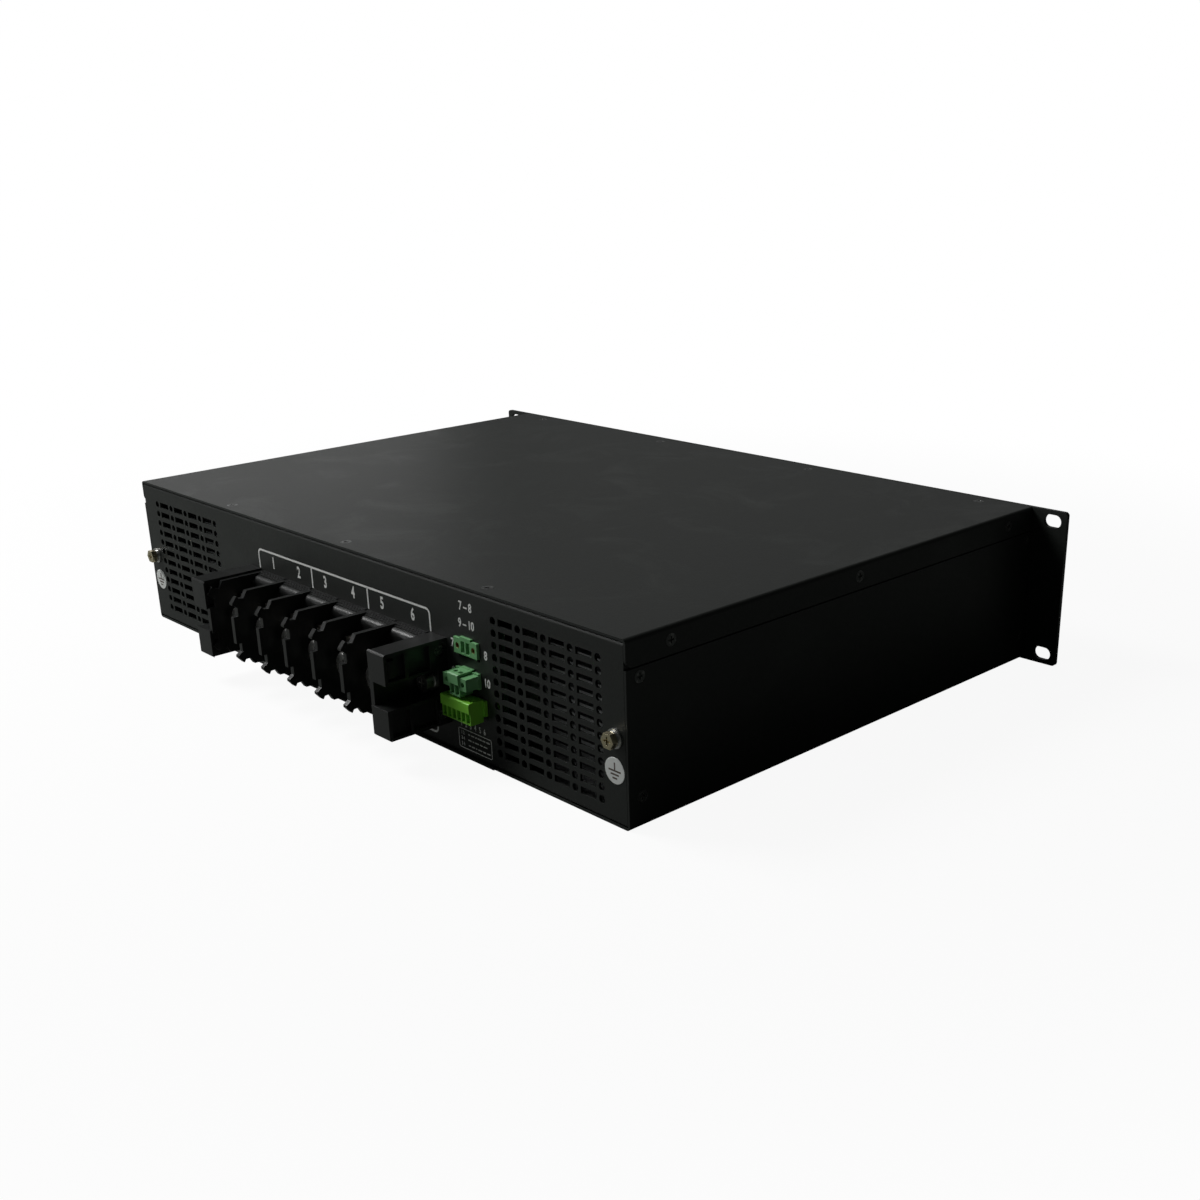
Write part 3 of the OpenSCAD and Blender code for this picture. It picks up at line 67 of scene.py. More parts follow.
# Print on the rear panel, in millimetres: across from the middle and up from the underside
POLE_NUMBER_SHIFT, POLE_NUMBER_UP = 1.5, 64.8
PORT_NUMBERS = (
    ("7 – 8", -110.0, 78.1), ("9 – 10", -110.0, 69.5), ("7", -98.1, 58.0), ("8", -123.7, 57.2),
    ("9", -97.6, 43.6), ("10", -123.6, 43.4),
)
CONTACT_PITCH, CONTACT_NUMBER_UP, CONTACT_NUMBER_HEIGHT = 3.65, 17.5, 3.0
BRACKET_LEFT, BRACKET_RIGHT, BRACKET_TOP, BRACKET_BOTTOM = 81.5, -80.7, 70.7, 6.5
LEGEND_LEFT, LEGEND_RIGHT, LEGEND_LOW, LEGEND_HIGH = -98.2, -124.0, 4.7, 14.7
LEGEND_BARS = (1.6, 2.6, 1.2, 3.2, 2.2, 2.8)

# An earth sticker's middle: below the bolt's, and in from the outer side of its head
STICKER_DROP, STICKER_INSET = 15.4, 4.85
STICKER_SIDES = 64

# Lamps, in metres: name, setting that holds the power, place, aim, and width and height
LAMPS = (
    ("soft box", "box", (1.85, -0.60, 0.40), (0.05, 0.0, 0.05), (1.1, 0.45)),
    ("side fill", "fill", (0.90, -1.60, 0.75), (0.0, 0.0, 0.05), (1.6, 0.8)),
    ("rear lamp", "rear", (1.05, 1.35, 0.42), (0.0, 0.12, 0.04), (0.9, 0.5)),
    ("key lamp", "key", (0.62, 0.42, 0.95), (0.0, 0.1, 0.05), (0.45, 0.45)),
)

# Camera: place in metres with Y out from the rear panel, turn in radians, and shift of the frame
CAMERA_PLACE = (-0.63230, 0.37511, 0.28079)
CAMERA_TURN = (1.208474, 0.016724, -2.340752)
CAMERA_SHIFT = (-0.05000, 0.06792)


# ---- sizes and colours that a user would change ----

def colour(name, description, default):
    return FloatVectorProperty(name=name, description=description, default=default, subtype="COLOR",
                               size=3, min=0.0, max=1.0)


def length(name, description, default):
    return FloatProperty(name=name, description=description, default=default, unit="LENGTH", min=0.0,
                         precision=5)


class CoatingSettings(bpy.types.PropertyGroup):
    """Powder coat on the folded steel."""
    tint: colour("Colour", "Colour of the powder coat", (0.0125, 0.0145, 0.0130))
    roughness: FloatProperty(name="Roughness", description="Roughness of the coat", default=0.42,
                             min=0.0, max=1.0)
    grain: length("Grain", "Size of the coat's fine texture", 0.0009)
    grain_depth: length("Grain depth", "Depth of the coat's fine texture", 0.00006)
    edge: length("Edge radius", "Radius on the sheet's cut edges", 0.00025)


class MouldingSettings(bpy.types.PropertyGroup):
    """Black mouldings of the terminal block."""
    tint: colour("Colour", "Colour of the mouldings", (0.0085, 0.0092, 0.0090))
    roughness: FloatProperty(name="Roughness", description="Roughness of the mouldings", default=0.30,
                             min=0.0, max=1.0)
    edge: length("Edge radius", "Radius on the mouldings' edges", 0.00035)


class PrintSettings(bpy.types.PropertyGroup):
    """White print on the rear panel."""
    ink: colour("Ink", "Colour of the print", (0.80, 0.81, 0.79))
    line: length("Line width", "Width of the printed lines", 0.0011)
    film: length("Film", "Thickness of the print", 0.00004)
    number: length("Number height", "Height of the numbers over the poles", 0.0062)
    small: length("Small number height", "Height of the numbers beside the ports", 0.0042)


class StickerSettings(bpy.types.PropertyGroup):
    """Round earth stickers."""
    paper: colour("Paper", "Colour of the stickers", (0.80, 0.82, 0.80))
    symbol: colour("Symbol", "Colour of the printed earth symbol", (0.075, 0.055, 0.045))
    diameter: length("Diameter", "Diameter of a sticker", 0.0125)
    thickness: length("Thickness", "Thickness of a sticker", 0.00022)


class MetalSettings(bpy.types.PropertyGroup):
    """Plated fixings, busbars and heat sinks."""
    zinc: colour("Zinc", "Colour of the bright plated steel", (0.62, 0.62, 0.60))
    brass: colour("Brass", "Colour of the pale brass", (0.70, 0.62, 0.42))
    copper: colour("Copper", "Colour of the bare copper", (0.78, 0.42, 0.26))
    blackened: colour("Blackened steel", "Colour of the black screws", (0.085, 0.088, 0.086))


class PortSettings(bpy.types.PropertyGroup):
    """Green connectors."""
    soft_green: colour("Soft green", "Colour of the two-pole connectors", (0.16, 0.40, 0.17))
    bright_green: colour("Bright green", "Colour of the six-pole plug", (0.22, 0.62, 0.05))


class StudioSettings(bpy.types.PropertyGroup):
    """Floor, lamps and camera."""
    floor: colour("Floor", "Colour of the floor", (0.86, 0.86, 0.86))
    card: colour("Card", "Colour that the floor reflects on the switch", (0.20, 0.21, 0.20))
    air: colour("Air", "Colour of the light from all round", (0.030, 0.032, 0.030))
    glow: FloatProperty(name="Glow", description="Share of the floor's own white near the switch",
                        default=0.93, min=0.0, max=1.0)
    box: FloatProperty(name="Soft box", description="Power of the soft box beyond the left end",
                       default=1.46, unit="POWER", min=0.0)
    fill: FloatProperty(name="Side fill", description="Power of the wide lamp beyond the front",
                        default=0.88, unit="POWER", min=0.0)
    rear: FloatProperty(name="Rear lamp", description="Power of the lamp behind the rear panel",
                        default=2.38, unit="POWER", min=0.0)
    key: FloatProperty(name="Key lamp", description="Power of the lamp above the terminal block",
                       default=12.07, unit="POWER", min=0.0)
    lens: FloatProperty(name="Lens", description="Focal length of the camera", default=42.989,
                        unit="CAMERA", min=1.0)


# ---- shader building ----

class Value:
    """A shader output that takes part in arithmetic; an expression adds its Math nodes."""

    def __init__(self, finish, socket):
        self.finish = finish
        self.socket = socket

    def math(self, operation, *terms):
        return self.finish.add("ShaderNodeMath", {"operation": operation}, dict(enumerate(terms)))

    def __add__(self, other):
        return self.math("ADD", self, other)

    def __radd__(self, other):
        return self.math("ADD", other, self)

    def __sub__(self, other):
        return self.math("SUBTRACT", self, other)

    def __mul__(self, other):
        return self.math("MULTIPLY", self, other)


class Finish:
    """A material or world being built. Every node of it is made by add()."""

    def __init__(self, name, owner=None):
        self.owner = owner or bpy.data.materials.new(name)
        self.owner.use_nodes = True
        self.tree = self.owner.node_tree
        self.tree.nodes.clear()
        self.place = self.add("ShaderNodeTexCoord", output="Object")

    def add(self, kind, settings=None, inputs=None, output=0):
        """Makes a node, sets it up, and returns the output asked for, ready for arithmetic."""
        node = self.tree.nodes.new(kind)
        for name, setting in (settings or {}).items():
            if name == "stops":
                ramp = node.color_ramp
                while len(ramp.elements) < len(setting):
                    ramp.elements.new(0.5)
                for element, (position, level) in zip(ramp.elements, setting):
                    element.position = position
                    element.color = (level, level, level, 1.0)
            else:
                setattr(node, name, setting)
        for name, given in (inputs or {}).items():
            socket = node.inputs[name]
            if isinstance(given, Value):
                self.tree.links.new(given.socket, socket)
            else:
                if socket.type == "RGBA" and len(given) == 3:
                    given = (*given, 1.0)
                socket.default_value = given
        return None if output is None else Value(self, node.outputs[output])

    def stretched(self, scale):
        return self.add("ShaderNodeMapping", None, {"Vector": self.place, "Scale": scale})

    def noise(self, size, detail=2.0, rough=0.5, place=None, distortion=0.0):
        return self.add("ShaderNodeTexNoise", None, {
            "Vector": place or self.place, "Scale": 1.0 / size, "Detail": detail, "Roughness": rough,
            "Distortion": distortion})

    def ramp(self, factor, stops):
        return self.add("ShaderNodeValToRGB", {"stops": stops}, {"Fac": factor})

    def mix(self, factor, first, second):
        return self.add("ShaderNodeMix", {"data_type": "RGBA"}, {0: factor, 6: first, 7: second},
                        output=2)

    def bump(self, height, depth, under=None):
        inputs = {"Height": height, "Distance": depth, "Strength": 1.0}
        if under:
            inputs["Normal"] = under
        return self.add("ShaderNodeBump", None, inputs)

    def surface(self, base, roughness, metallic=0.0, normal=None, **constants):
        inputs = {"Base Color": base, "Roughness": roughness, "Metallic": metallic}
        if normal:
            inputs["Normal"] = normal
        for name, given in constants.items():
            inputs[name.replace("_", " ")] = given
        return self.close(self.add("ShaderNodeBsdfPrincipled", None, inputs, output="BSDF"))

    def close(self, shader, kind="ShaderNodeOutputMaterial"):
        self.add(kind, None, {"Surface": shader}, output=None)
        return self.owner


def shade(tint, factor):
    return tuple(min(1.0, channel * factor) for channel in tint)


# ---- finishes ----

def powder_coat():
    """Satin powder coat: fine leathery grain, a little cloudiness, and faint handling marks."""
    settings = bpy.context.scene.switch_coating
    finish = Finish("satin powder coat")
    grain = finish.noise(settings.grain, detail=3.0, rough=0.55)
    cloud = finish.noise(0.11, detail=3.0, rough=0.6)
    peel = finish.noise(0.0034, detail=1.0)
    handling = finish.noise(0.05, detail=6.0, rough=0.7, distortion=0.6)
    rubbed = finish.ramp(handling, [(0.50, 0.0), (0.72, 1.0)])
    base = finish.mix(cloud, shade(settings.tint, 0.82), shade(settings.tint, 1.22))
    base = finish.mix(rubbed * 0.35, base, shade(settings.tint, 1.75))
    roughness = settings.roughness - 0.05 + grain * 0.10 + cloud * 0.05 - rubbed * 0.06
    normal = finish.bump(peel, settings.grain_depth * 0.6, finish.bump(grain, settings.grain_depth))
    return finish.surface(base, roughness, normal=normal, Specular_IOR_Level=0.42)


def black_moulding():
    """Semi-gloss black moulding with a spark-eroded grain and slow waviness."""
    settings = bpy.context.scene.switch_moulding
    finish = Finish("black moulding")
    grain = finish.noise(0.00045, detail=2.0)
    wave = finish.noise(0.009, detail=2.0, distortion=0.3)
    dust = finish.ramp(finish.noise(0.012, detail=7.0, rough=0.72), [(0.56, 0.0), (0.80, 1.0)])
    base = finish.mix(dust * 0.4, settings.tint, shade(settings.tint, 2.6))
    roughness = settings.roughness - 0.04 + grain * 0.08 + wave * 0.06 + dust * 0.12
    normal = finish.bump(wave, 0.00012, finish.bump(grain, 0.000022))
    return finish.surface(base, roughness, normal=normal, Specular_IOR_Level=0.5)


def plated(name, tint, roughness, grain=0.0006, streak=(1.0, 1.0, 1.0)):
    """Plated or bare metal with a fine drawn grain and slight tarnish."""
    finish = Finish(name)
    drawn = finish.noise(grain, detail=3.0, place=finish.stretched(streak))
    tarnish = finish.ramp(finish.noise(0.006, detail=5.0, rough=0.65), [(0.40, 0.0), (0.75, 1.0)])
    base = finish.mix(tarnish * 0.55, tint, shade(tint, 0.62))
    return finish.surface(base, roughness - 0.05 + drawn * 0.12 + tarnish * 0.10, metallic=1.0,
                          normal=finish.bump(drawn, 0.00001))


def blackened_steel():
    """Black plated screws with bright rubs."""
    settings = bpy.context.scene.switch_metal
    finish = Finish("blackened steel")
    fine = finish.noise(0.0005, detail=3.0)
    rub = finish.ramp(finish.noise(0.0016, detail=4.0, rough=0.7), [(0.50, 0.0), (0.66, 1.0)])
    base = finish.mix(rub * 0.6, settings.blackened, (0.42, 0.42, 0.41))
    return finish.surface(base, 0.30 + fine * 0.12 - rub * 0.05, metallic=0.85,
                          normal=finish.bump(fine, 0.00001))


def moulded(name, tint, roughness=0.42, depth=0.00001):
    """Coloured moulding with a little unevenness of colour."""
    finish = Finish(name)
    grain = finish.noise(0.0005, detail=2.0)
    flow = finish.noise(0.006, detail=3.0)
    base = finish.mix(flow, shade(tint, 0.86), shade(tint, 1.12))
    return finish.surface(base, roughness - 0.04 + grain * 0.08, normal=finish.bump(grain, depth))


def circuit_board():
    """Solder resist over copper tracks, with the weave of the laminate showing faintly."""
    finish = Finish("circuit board")
    weave = finish.add("ShaderNodeTexWave", {"wave_type": "BANDS", "bands_direction": "DIAGONAL"},
                       {"Vector": finish.place, "Scale": 420.0, "Distortion": 1.5}, output="Fac")
    tracks = finish.add("ShaderNodeTexBrick", {"offset": 0.35}, {
        "Vector": finish.place, "Scale": 95.0, "Mortar Size": 0.07, "Color1": (1.0, 1.0, 1.0),
        "Color2": (0.7, 0.7, 0.7), "Mortar": (0.0, 0.0, 0.0)}, output="Fac")
    base = finish.mix(tracks, (0.012, 0.11, 0.045), (0.03, 0.19, 0.07))
    return finish.surface(base, 0.32 + weave * 0.08, normal=finish.bump(tracks + weave * 0.2, 0.00003))


def ink():
    """Screen-printed ink, a little thin in places."""
    settings = bpy.context.scene.switch_print
    finish = Finish("white ink")
    thin = finish.ramp(finish.noise(0.0009, detail=4.0, rough=0.7), [(0.30, 0.0), (0.52, 1.0)])
    base = finish.mix(thin, shade(settings.ink, 0.80), settings.ink)
    return finish.surface(base, 0.55 + thin * 0.1, normal=finish.bump(thin, 0.00001))


def sticker_paper():
    """Coated paper with a faint tooth."""
    settings = bpy.context.scene.switch_sticker
    finish = Finish("sticker paper")
    tooth = finish.noise(0.0004, detail=3.0)
    stain = finish.noise(0.004, detail=3.0)
    base = finish.mix(stain, shade(settings.paper, 0.93), settings.paper)
    return finish.surface(base, 0.42 + tooth * 0.1, normal=finish.bump(tooth, 0.000008))


def symbol_ink():
    """Dark ink of the earth symbol."""
    settings = bpy.context.scene.switch_sticker
    finish = Finish("symbol ink")
    patchy = finish.noise(0.0008, detail=4.0)
    base = finish.mix(patchy, settings.symbol, shade(settings.symbol, 1.7))
    return finish.surface(base, 0.5 + patchy * 0.1)


def smoked_pane():
    """Smoked acrylic pane."""
    finish = Finish("smoked pane")
    smear = finish.noise(0.03, detail=4.0, rough=0.6)
    base = finish.mix(smear, (0.010, 0.012, 0.013), (0.016, 0.019, 0.020))
    return finish.surface(base, 0.04 + smear * 0.06, Coat_Weight=0.6)


def lamp_lens():
    """Milky green lens of a status light."""
    finish = Finish("status lens")
    milk = finish.noise(0.0012, detail=2.0)
    base = finish.mix(milk, (0.12, 0.42, 0.14), (0.22, 0.55, 0.22))
    return finish.surface(base, 0.22 + milk * 0.06)


# ---- helpers for pieces ----

def dress(node, material):
    """Gives a node of the solid model its finish."""
    piece = NODES[node]
    for slot in piece.material_slots:
        slot.link = "OBJECT"
        slot.material = material


def place_mesh(name, mesh, material):
    piece = bpy.data.objects.new(name, mesh)
    bpy.context.scene.collection.objects.link(piece)
    piece.data.materials.clear()
    piece.data.materials.append(material)
    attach(piece, "root")
    return piece


def soften(node, material, radius, segments=2, angle=32.0):
    """Stands a copy with rounded edges in for a node of the solid model."""
    mesh = NODES[node].data.copy()
    mesh.name = node + "_rounded"
    form = bmesh.new()
    form.from_mesh(mesh)
    bmesh.ops.remove_doubles(form, verts=form.verts, dist=1e-6)
    bmesh.ops.dissolve_limit(form, angle_limit=math.radians(0.4), verts=form.verts, edges=form.edges)
    form.to_mesh(mesh)
    form.free()
    if mesh.has_custom_normals:
        mesh.attributes.remove(mesh.attributes["custom_normal"])
    piece = place_mesh(node + "_rounded", mesh, material)
    bevel = piece.modifiers.new("edges", "BEVEL")
    bevel.width = radius
    bevel.segments = segments
    bevel.limit_method = "ANGLE"
    bevel.angle_limit = math.radians(angle)
    bevel.use_clamp_overlap = True
    apply_modifiers(piece)
    piece.data.shade_smooth()
    piece.data.set_sharp_from_angle(angle=math.radians(40.0))
    weighted = piece.modifiers.new("flats", "WEIGHTED_NORMAL")
    weighted.keep_sharp = True
    apply_modifiers(piece)
    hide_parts(node)
    return piece


def apply_modifiers(piece):
    graph = bpy.context.evaluated_depsgraph_get()
    graph.update()
    finished = bpy.data.meshes.new_from_object(piece.evaluated_get(graph))
    piece.modifiers.clear()
    piece.data = finished


def on_rear(across, up, out=0.0):
    """A point on the rear panel: metres from the middle, above the underside and out of the face."""
    return Vector((across, REAR_FACE + out, up))


def strip_mesh(name, runs, width, out, thickness):
    """Printed lines: each run is a list of (across, up) points joined by a band with mitred corners."""
    form = bmesh.new()
    for run in runs:
        points = [Vector(point) for point in run]
        left, right = [], []
        for index, point in enumerate(points):
            before = (point - points[index - 1]).normalized() if index else None
            after = (points[index + 1] - point).normalized() if index < len(points) - 1 else None
            first, second = before or after, after or before
            normal = (Vector((-first.y, first.x)) + Vector((-second.y, second.x))).normalized()
            reach = width / 2 / max(0.5, normal.dot(Vector((-first.y, first.x))))
            left.append(point + normal * reach)
            right.append(point - normal * reach)
        rims = []
        for level in (out, out + thickness):
            rims.append([[form.verts.new(on_rear(p.x, p.y, level)) for p in side]
                         for side in (left, right)])
        (low_left, low_right), (high_left, high_right) = rims
        last = len(points) - 1
        for index in range(last):
            for a, b in ((high_left, high_right), (low_right, low_left), (low_left, high_left),
                         (high_right, low_right)):
                form.faces.new((a[index], a[index + 1], b[index + 1], b[index]))
        for index in (0, last):
            form.faces.new((low_left[index], low_right[index], high_right[index], high_left[index]))
    bmesh.ops.recalc_face_normals(form, faces=form.faces)
    mesh = bpy.data.meshes.new(name)
    form.to_mesh(mesh)
    form.free()
    return mesh


def rounded_run(points, radius, steps=5, closed=False):
    """Replaces the corners of a run with arcs."""
    count = len(points)
    run = []
    for index, point in enumerate(points):
        here = Vector(point)
        if not closed and index in (0, count - 1):
            run.append(tuple(here))
            continue
        before, after = Vector(points[index - 1]), Vector(points[(index + 1) % count])
        start = here + (before - here).normalized() * radius
        end = here + (after - here).normalized() * radius
        for step in range(steps + 1):
            t = step / steps
            run.append(tuple(start * (1 - t) ** 2 + here * 2 * t * (1 - t) + end * t ** 2))
    if closed:
        run.append(run[0])
    return run


def number_mesh(name, text, across, up, height, out, thickness, narrow=0.72):
    """Digits lying on the rear panel, centred on a point."""
    curve = bpy.data.curves.new(name, "FONT")
    curve.body = text
    curve.align_x = "CENTER"
    curve.align_y = "CENTER"
    curve.size = height / 0.70
    curve.extrude = thickness / 2
    curve.resolution_u = 3
    curve.offset = height * 0.04
    carrier = bpy.data.objects.new(name, curve)
    bpy.context.scene.collection.objects.link(carrier)
    bpy.context.view_layer.update()
    graph = bpy.context.evaluated_depsgraph_get()
    mesh = bpy.data.meshes.new_from_object(carrier.evaluated_get(graph))
    bpy.data.objects.remove(carrier)
    bpy.data.curves.remove(curve)
    turn = Matrix(((-narrow, 0, 0, across), (0, 0, 1, REAR_FACE + out + thickness / 2), (0, 1, 0, up),
                   (0, 0, 0, 1)))
    mesh.transform(turn)
    mesh.materials.clear()
    return mesh


def joined(name, meshes):
    form = bmesh.new()
    for mesh in meshes:
        form.from_mesh(mesh)
        bpy.data.meshes.remove(mesh)
    bmesh.ops.recalc_face_normals(form, faces=form.faces)
    whole = bpy.data.meshes.new(name)
    form.to_mesh(whole)
    form.free()
    return whole


# ---- operators ----

class SWITCH_OT_case(bpy.types.Operator):
    """Powder-coats the tray, cover, rear panel, front frame and front panel"""
    bl_idname = "switch.case"
    bl_label = "Case"

    def execute(self, context):
        coat = powder_coat()
        edge = context.scene.switch_coating.edge
        for node in ("chassis_tray", "top_cover", "rear_panel", "front_panel"):
            soften(node, coat, edge)
        dress("front_frame", coat)
        return {"FINISHED"}


class SWITCH_OT_screws(bpy.types.Operator):
    """Gives the case screws and the heat sinks' screws their blackened finish"""
    bl_idname = "switch.screws"
    bl_label = "Case screws"

    def execute(self, context):
        steel = blackened_steel()
        for node in ("cover_top_screws", "cover_side_screws", "wall_screws", "front_panel_screws"):
            soften(node, steel, 0.12 * MM)
        dress("heat_sink_screws", steel)
        return {"FINISHED"}


class SWITCH_OT_terminal_block(bpy.types.Operator):
    """Finishes the moulded poles and end brackets"""
    bl_idname = "switch.terminal_block"
    bl_label = "Terminal block"

    def execute(self, context):
        moulding = black_moulding()
        edge = context.scene.switch_moulding.edge
        for node in (*POLES, "terminal_end_1", "terminal_end_2"):
            soften(node, moulding, edge)
        return {"FINISHED"}


class SWITCH_OT_hardware(bpy.types.Operator):
    """Finishes the bolts, washers, nuts, rods and bars of the terminal block"""
    bl_idname = "switch.hardware"
    bl_label = "Terminal hardware"

    def execute(self, context):
        metal = context.scene.switch_metal
        zinc = plated("bright zinc", metal.zinc, 0.26)
        for node in ("terminal_bolts", "terminal_washers", "terminal_fixing_screws"):
            soften(node, zinc, 0.2 * MM)
        black = bpy.data.materials.get("blackened steel") or blackened_steel()
        soften("terminal_tie_rods", black, 0.2 * MM)
        for node in ("terminal_nuts", "panel_nuts"):
            dress(node, zinc)
        dress("terminal_bars", plated("tinned copper", (0.66, 0.62, 0.56), 0.30))
        return {"FINISHED"}


class SWITCH_OT_earth_points(bpy.types.Operator):
    """Finishes the earth bolts and their washers, and puts an earth sticker below each"""
    bl_idname = "switch.earth_points"
    bl_label = "Earth points"

    def execute(self, context):
        metal = context.scene.switch_metal
        sticker = context.scene.switch_sticker
        soften("earth_bolts", plated("pale brass", metal.brass, 0.24), 0.2 * MM)
        soften("earth_washers", plated("washer zinc", metal.zinc, 0.24), 0.12 * MM)
        paper, symbol = sticker_paper(), symbol_ink()
        low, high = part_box("earth_bolts")
        up = (low.z + high.z) / 2 - STICKER_DROP * MM
        reach = (high.x - low.x) / 2 - STICKER_INSET * MM
        for side, name in ((1, "left"), (-1, "right")):
            self.put_sticker(sticker, name, side * reach, up, paper, symbol)
        return {"FINISHED"}

    def put_sticker(self, sticker, name, across, up, paper, symbol):
        radius = sticker.diameter / 2
        form = bmesh.new()
        rings = []
        for inset, out in ((0.0, 0.0), (0.0, 0.7), (0.02, 0.9), (0.05, 1.0)):
            rings.append([form.verts.new(on_rear(
                across + radius * (1 - inset) * math.cos(turn), up + radius * (1 - inset) * math.sin(turn),
                sticker.thickness * out))
                for turn in (math.tau * i / STICKER_SIDES for i in range(STICKER_SIDES))])
        for inner, outer in zip(rings, rings[1:]):
            for i in range(STICKER_SIDES):
                form.faces.new((inner[i], inner[i - 1], outer[i - 1], outer[i]))
        form.faces.new(rings[0])
        form.faces.new(rings[-1])
        bmesh.ops.recalc_face_normals(form, faces=form.faces)
        mesh = bpy.data.meshes.new("sticker")
        form.to_mesh(mesh)
        form.free()
        place_mesh("earth_sticker_" + name, mesh, paper)
        bar = radius * 0.13
        runs = [[(across, up + radius * 0.62), (across, up)]]
        for drop, half in ((0.0, 0.62), (0.28, 0.42), (0.56, 0.24)):
            runs.append([(across + side * radius * half, up - radius * drop) for side in (-1, 1)])
        lines = strip_mesh("symbol", runs, bar, sticker.thickness, 0.02 * MM)
        place_mesh("earth_symbol_" + name, lines, symbol)


class SWITCH_OT_ports(bpy.types.Operator):
    """Finishes the green sockets and plugs with their inserts, pins and clamp screws"""
    bl_idname = "switch.ports"
    bl_label = "Signal ports"

    def execute(self, context):
        port = context.scene.switch_port
        metal = context.scene.switch_metal
        soft = moulded("soft green moulding", port.soft_green)
        bright = moulded("bright green moulding", port.bright_green, 0.38)
        for node in ("serial_socket", "alarm_socket", "alarm_plug"):
            soften(node, soft, 0.2 * MM)
        for node in ("contact_socket", "contact_plug"):
            soften(node, bright, 0.2 * MM)
        dress("socket_inserts", plated("insert brass", (0.72, 0.50, 0.20), 0.28))
        zinc = plated("pin tin", metal.zinc, 0.22)
        for node in ("port_pins", "clamp_screws"):
            dress(node, zinc)
        return {"FINISHED"}


class SWITCH_OT_print(bpy.types.Operator):
    """Prints the brackets, numbers and framed legend on the rear panel"""
    bl_idname = "switch.print"
    bl_label = "Print"

    def execute(self, context):
        settings = context.scene.switch_print
        white = ink()
        thick = settings.film
        place_mesh("print_brackets", self.brackets(settings), white)
        place_mesh("print_legend", self.legend(settings), white)
        numbers = []
        for index, node in enumerate(POLES):
            low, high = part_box(node)
            across = (low.x + high.x) / 2 + POLE_NUMBER_SHIFT * MM
            numbers.append(number_mesh("n", str(index + 1), across, POLE_NUMBER_UP * MM,
                                       settings.number, 0.0, thick))
        for text, across, up in PORT_NUMBERS:
            numbers.append(number_mesh("n", text, across * MM, up * MM, settings.small, 0.0, thick,
                                       narrow=0.8))
        low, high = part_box("contact_socket")
        for index in range(6):
            across = (low.x + high.x) / 2 + (2.5 - index) * CONTACT_PITCH * MM
            numbers.append(number_mesh("n", str(index + 1), across, CONTACT_NUMBER_UP * MM,
                                       CONTACT_NUMBER_HEIGHT * MM, 0.0, thick))
        place_mesh("print_numbers", joined("print_numbers", numbers), white)
        return {"FINISHED"}

    def brackets(self, settings):
        """Two round-cornered brackets above and below the block, the upper one with two dividers."""
        left, right = BRACKET_LEFT * MM, BRACKET_RIGHT * MM
        top, bottom = BRACKET_TOP * MM, BRACKET_BOTTOM * MM
        runs = [rounded_run([(left, 59.6 * MM), (left, top), (right, top), (right, 59.6 * MM)], 3 * MM)]
        for across in (26.2, -27.0):
            runs.append([(across * MM, top), (across * MM, 59.2 * MM)])
        runs.append(rounded_run([(left, 15.4 * MM), (left, bottom), (right, bottom),
                                 (right, 15.4 * MM)], 3 * MM))
        return strip_mesh("brackets", runs, settings.line, 0.0, settings.film)

    def legend(self, settings):
        """A frame with three rows, each of two digits and a row of short bars."""
        left, right = LEGEND_LEFT * MM, LEGEND_RIGHT * MM
        low, high = LEGEND_LOW * MM, LEGEND_HIGH * MM
        frame_run = rounded_run([(left, low), (left, high), (right, high), (right, low)], 1.2 * MM,
                                closed=True)
        meshes = [strip_mesh("frame", [frame_run], 0.45 * MM, 0.0, settings.film)]
        bars = []
        for row, label in enumerate(("1 2", "3 4", "5 6")):
            up = high - (2.1 + 2.9 * row) * MM
            meshes.append(number_mesh("n", label, left - 3.2 * MM, up, 1.8 * MM, 0.0, settings.film,
                                      0.8))
            start = left - 7.4 * MM
            for width in LEGEND_BARS[row % 2:]:
                if start - width * MM < right + 1.2 * MM:
                    break
                bars.append([(start, up), (start - width * MM, up)])
                start -= (width + 0.7) * MM
        meshes.append(strip_mesh("bars", bars, 0.7 * MM, 0.0, settings.film))
        return joined("legend", meshes)


class SWITCH_OT_inside(bpy.types.Operator):
    """Finishes the heat sinks, thyristor modules, busbars, sensors and circuit boards"""
    bl_idname = "switch.inside"
    bl_label = "Inside"

    def execute(self, context):
        metal = context.scene.switch_metal
        zinc = plated("inner zinc", metal.zinc, 0.3)
        finishes = {
            "sink_aluminium": plated("extruded aluminium", (0.70, 0.71, 0.72), 0.32, 0.0006,
                                     (1.0, 0.04, 1.0)),
            "module_case": moulded("module moulding", (0.03, 0.03, 0.031), 0.5),
            "copper": plated("bare copper", metal.copper, 0.30, 0.0006, (1.0, 0.1, 1.0)),
            "sensor_blue": moulded("sensor moulding", (0.02, 0.09, 0.30)),
            "circuit_board": circuit_board(),
            "display_frame": moulded("display moulding", (0.05, 0.055, 0.06)),
            "bright_steel": zinc,
        }
        for node, slot in SLOT_OF.items():
            outside = node.startswith(("terminal_", "panel_", "port_", "clamp_", "earth_"))
            if slot in finishes and not outside:
                dress(node, finishes[slot])
        return {"FINISHED"}


class SWITCH_OT_front(bpy.types.Operator):
    """Finishes the film, window and status lights of the front panel"""
    bl_idname = "switch.front"
    bl_label = "Front"

    def execute(self, context):
        dress("front_film", moulded("front film", (0.030, 0.033, 0.034), 0.5, 0.00002))
        dress("display_window", smoked_pane())
        dress("status_leds", lamp_lens())
        return {"FINISHED"}


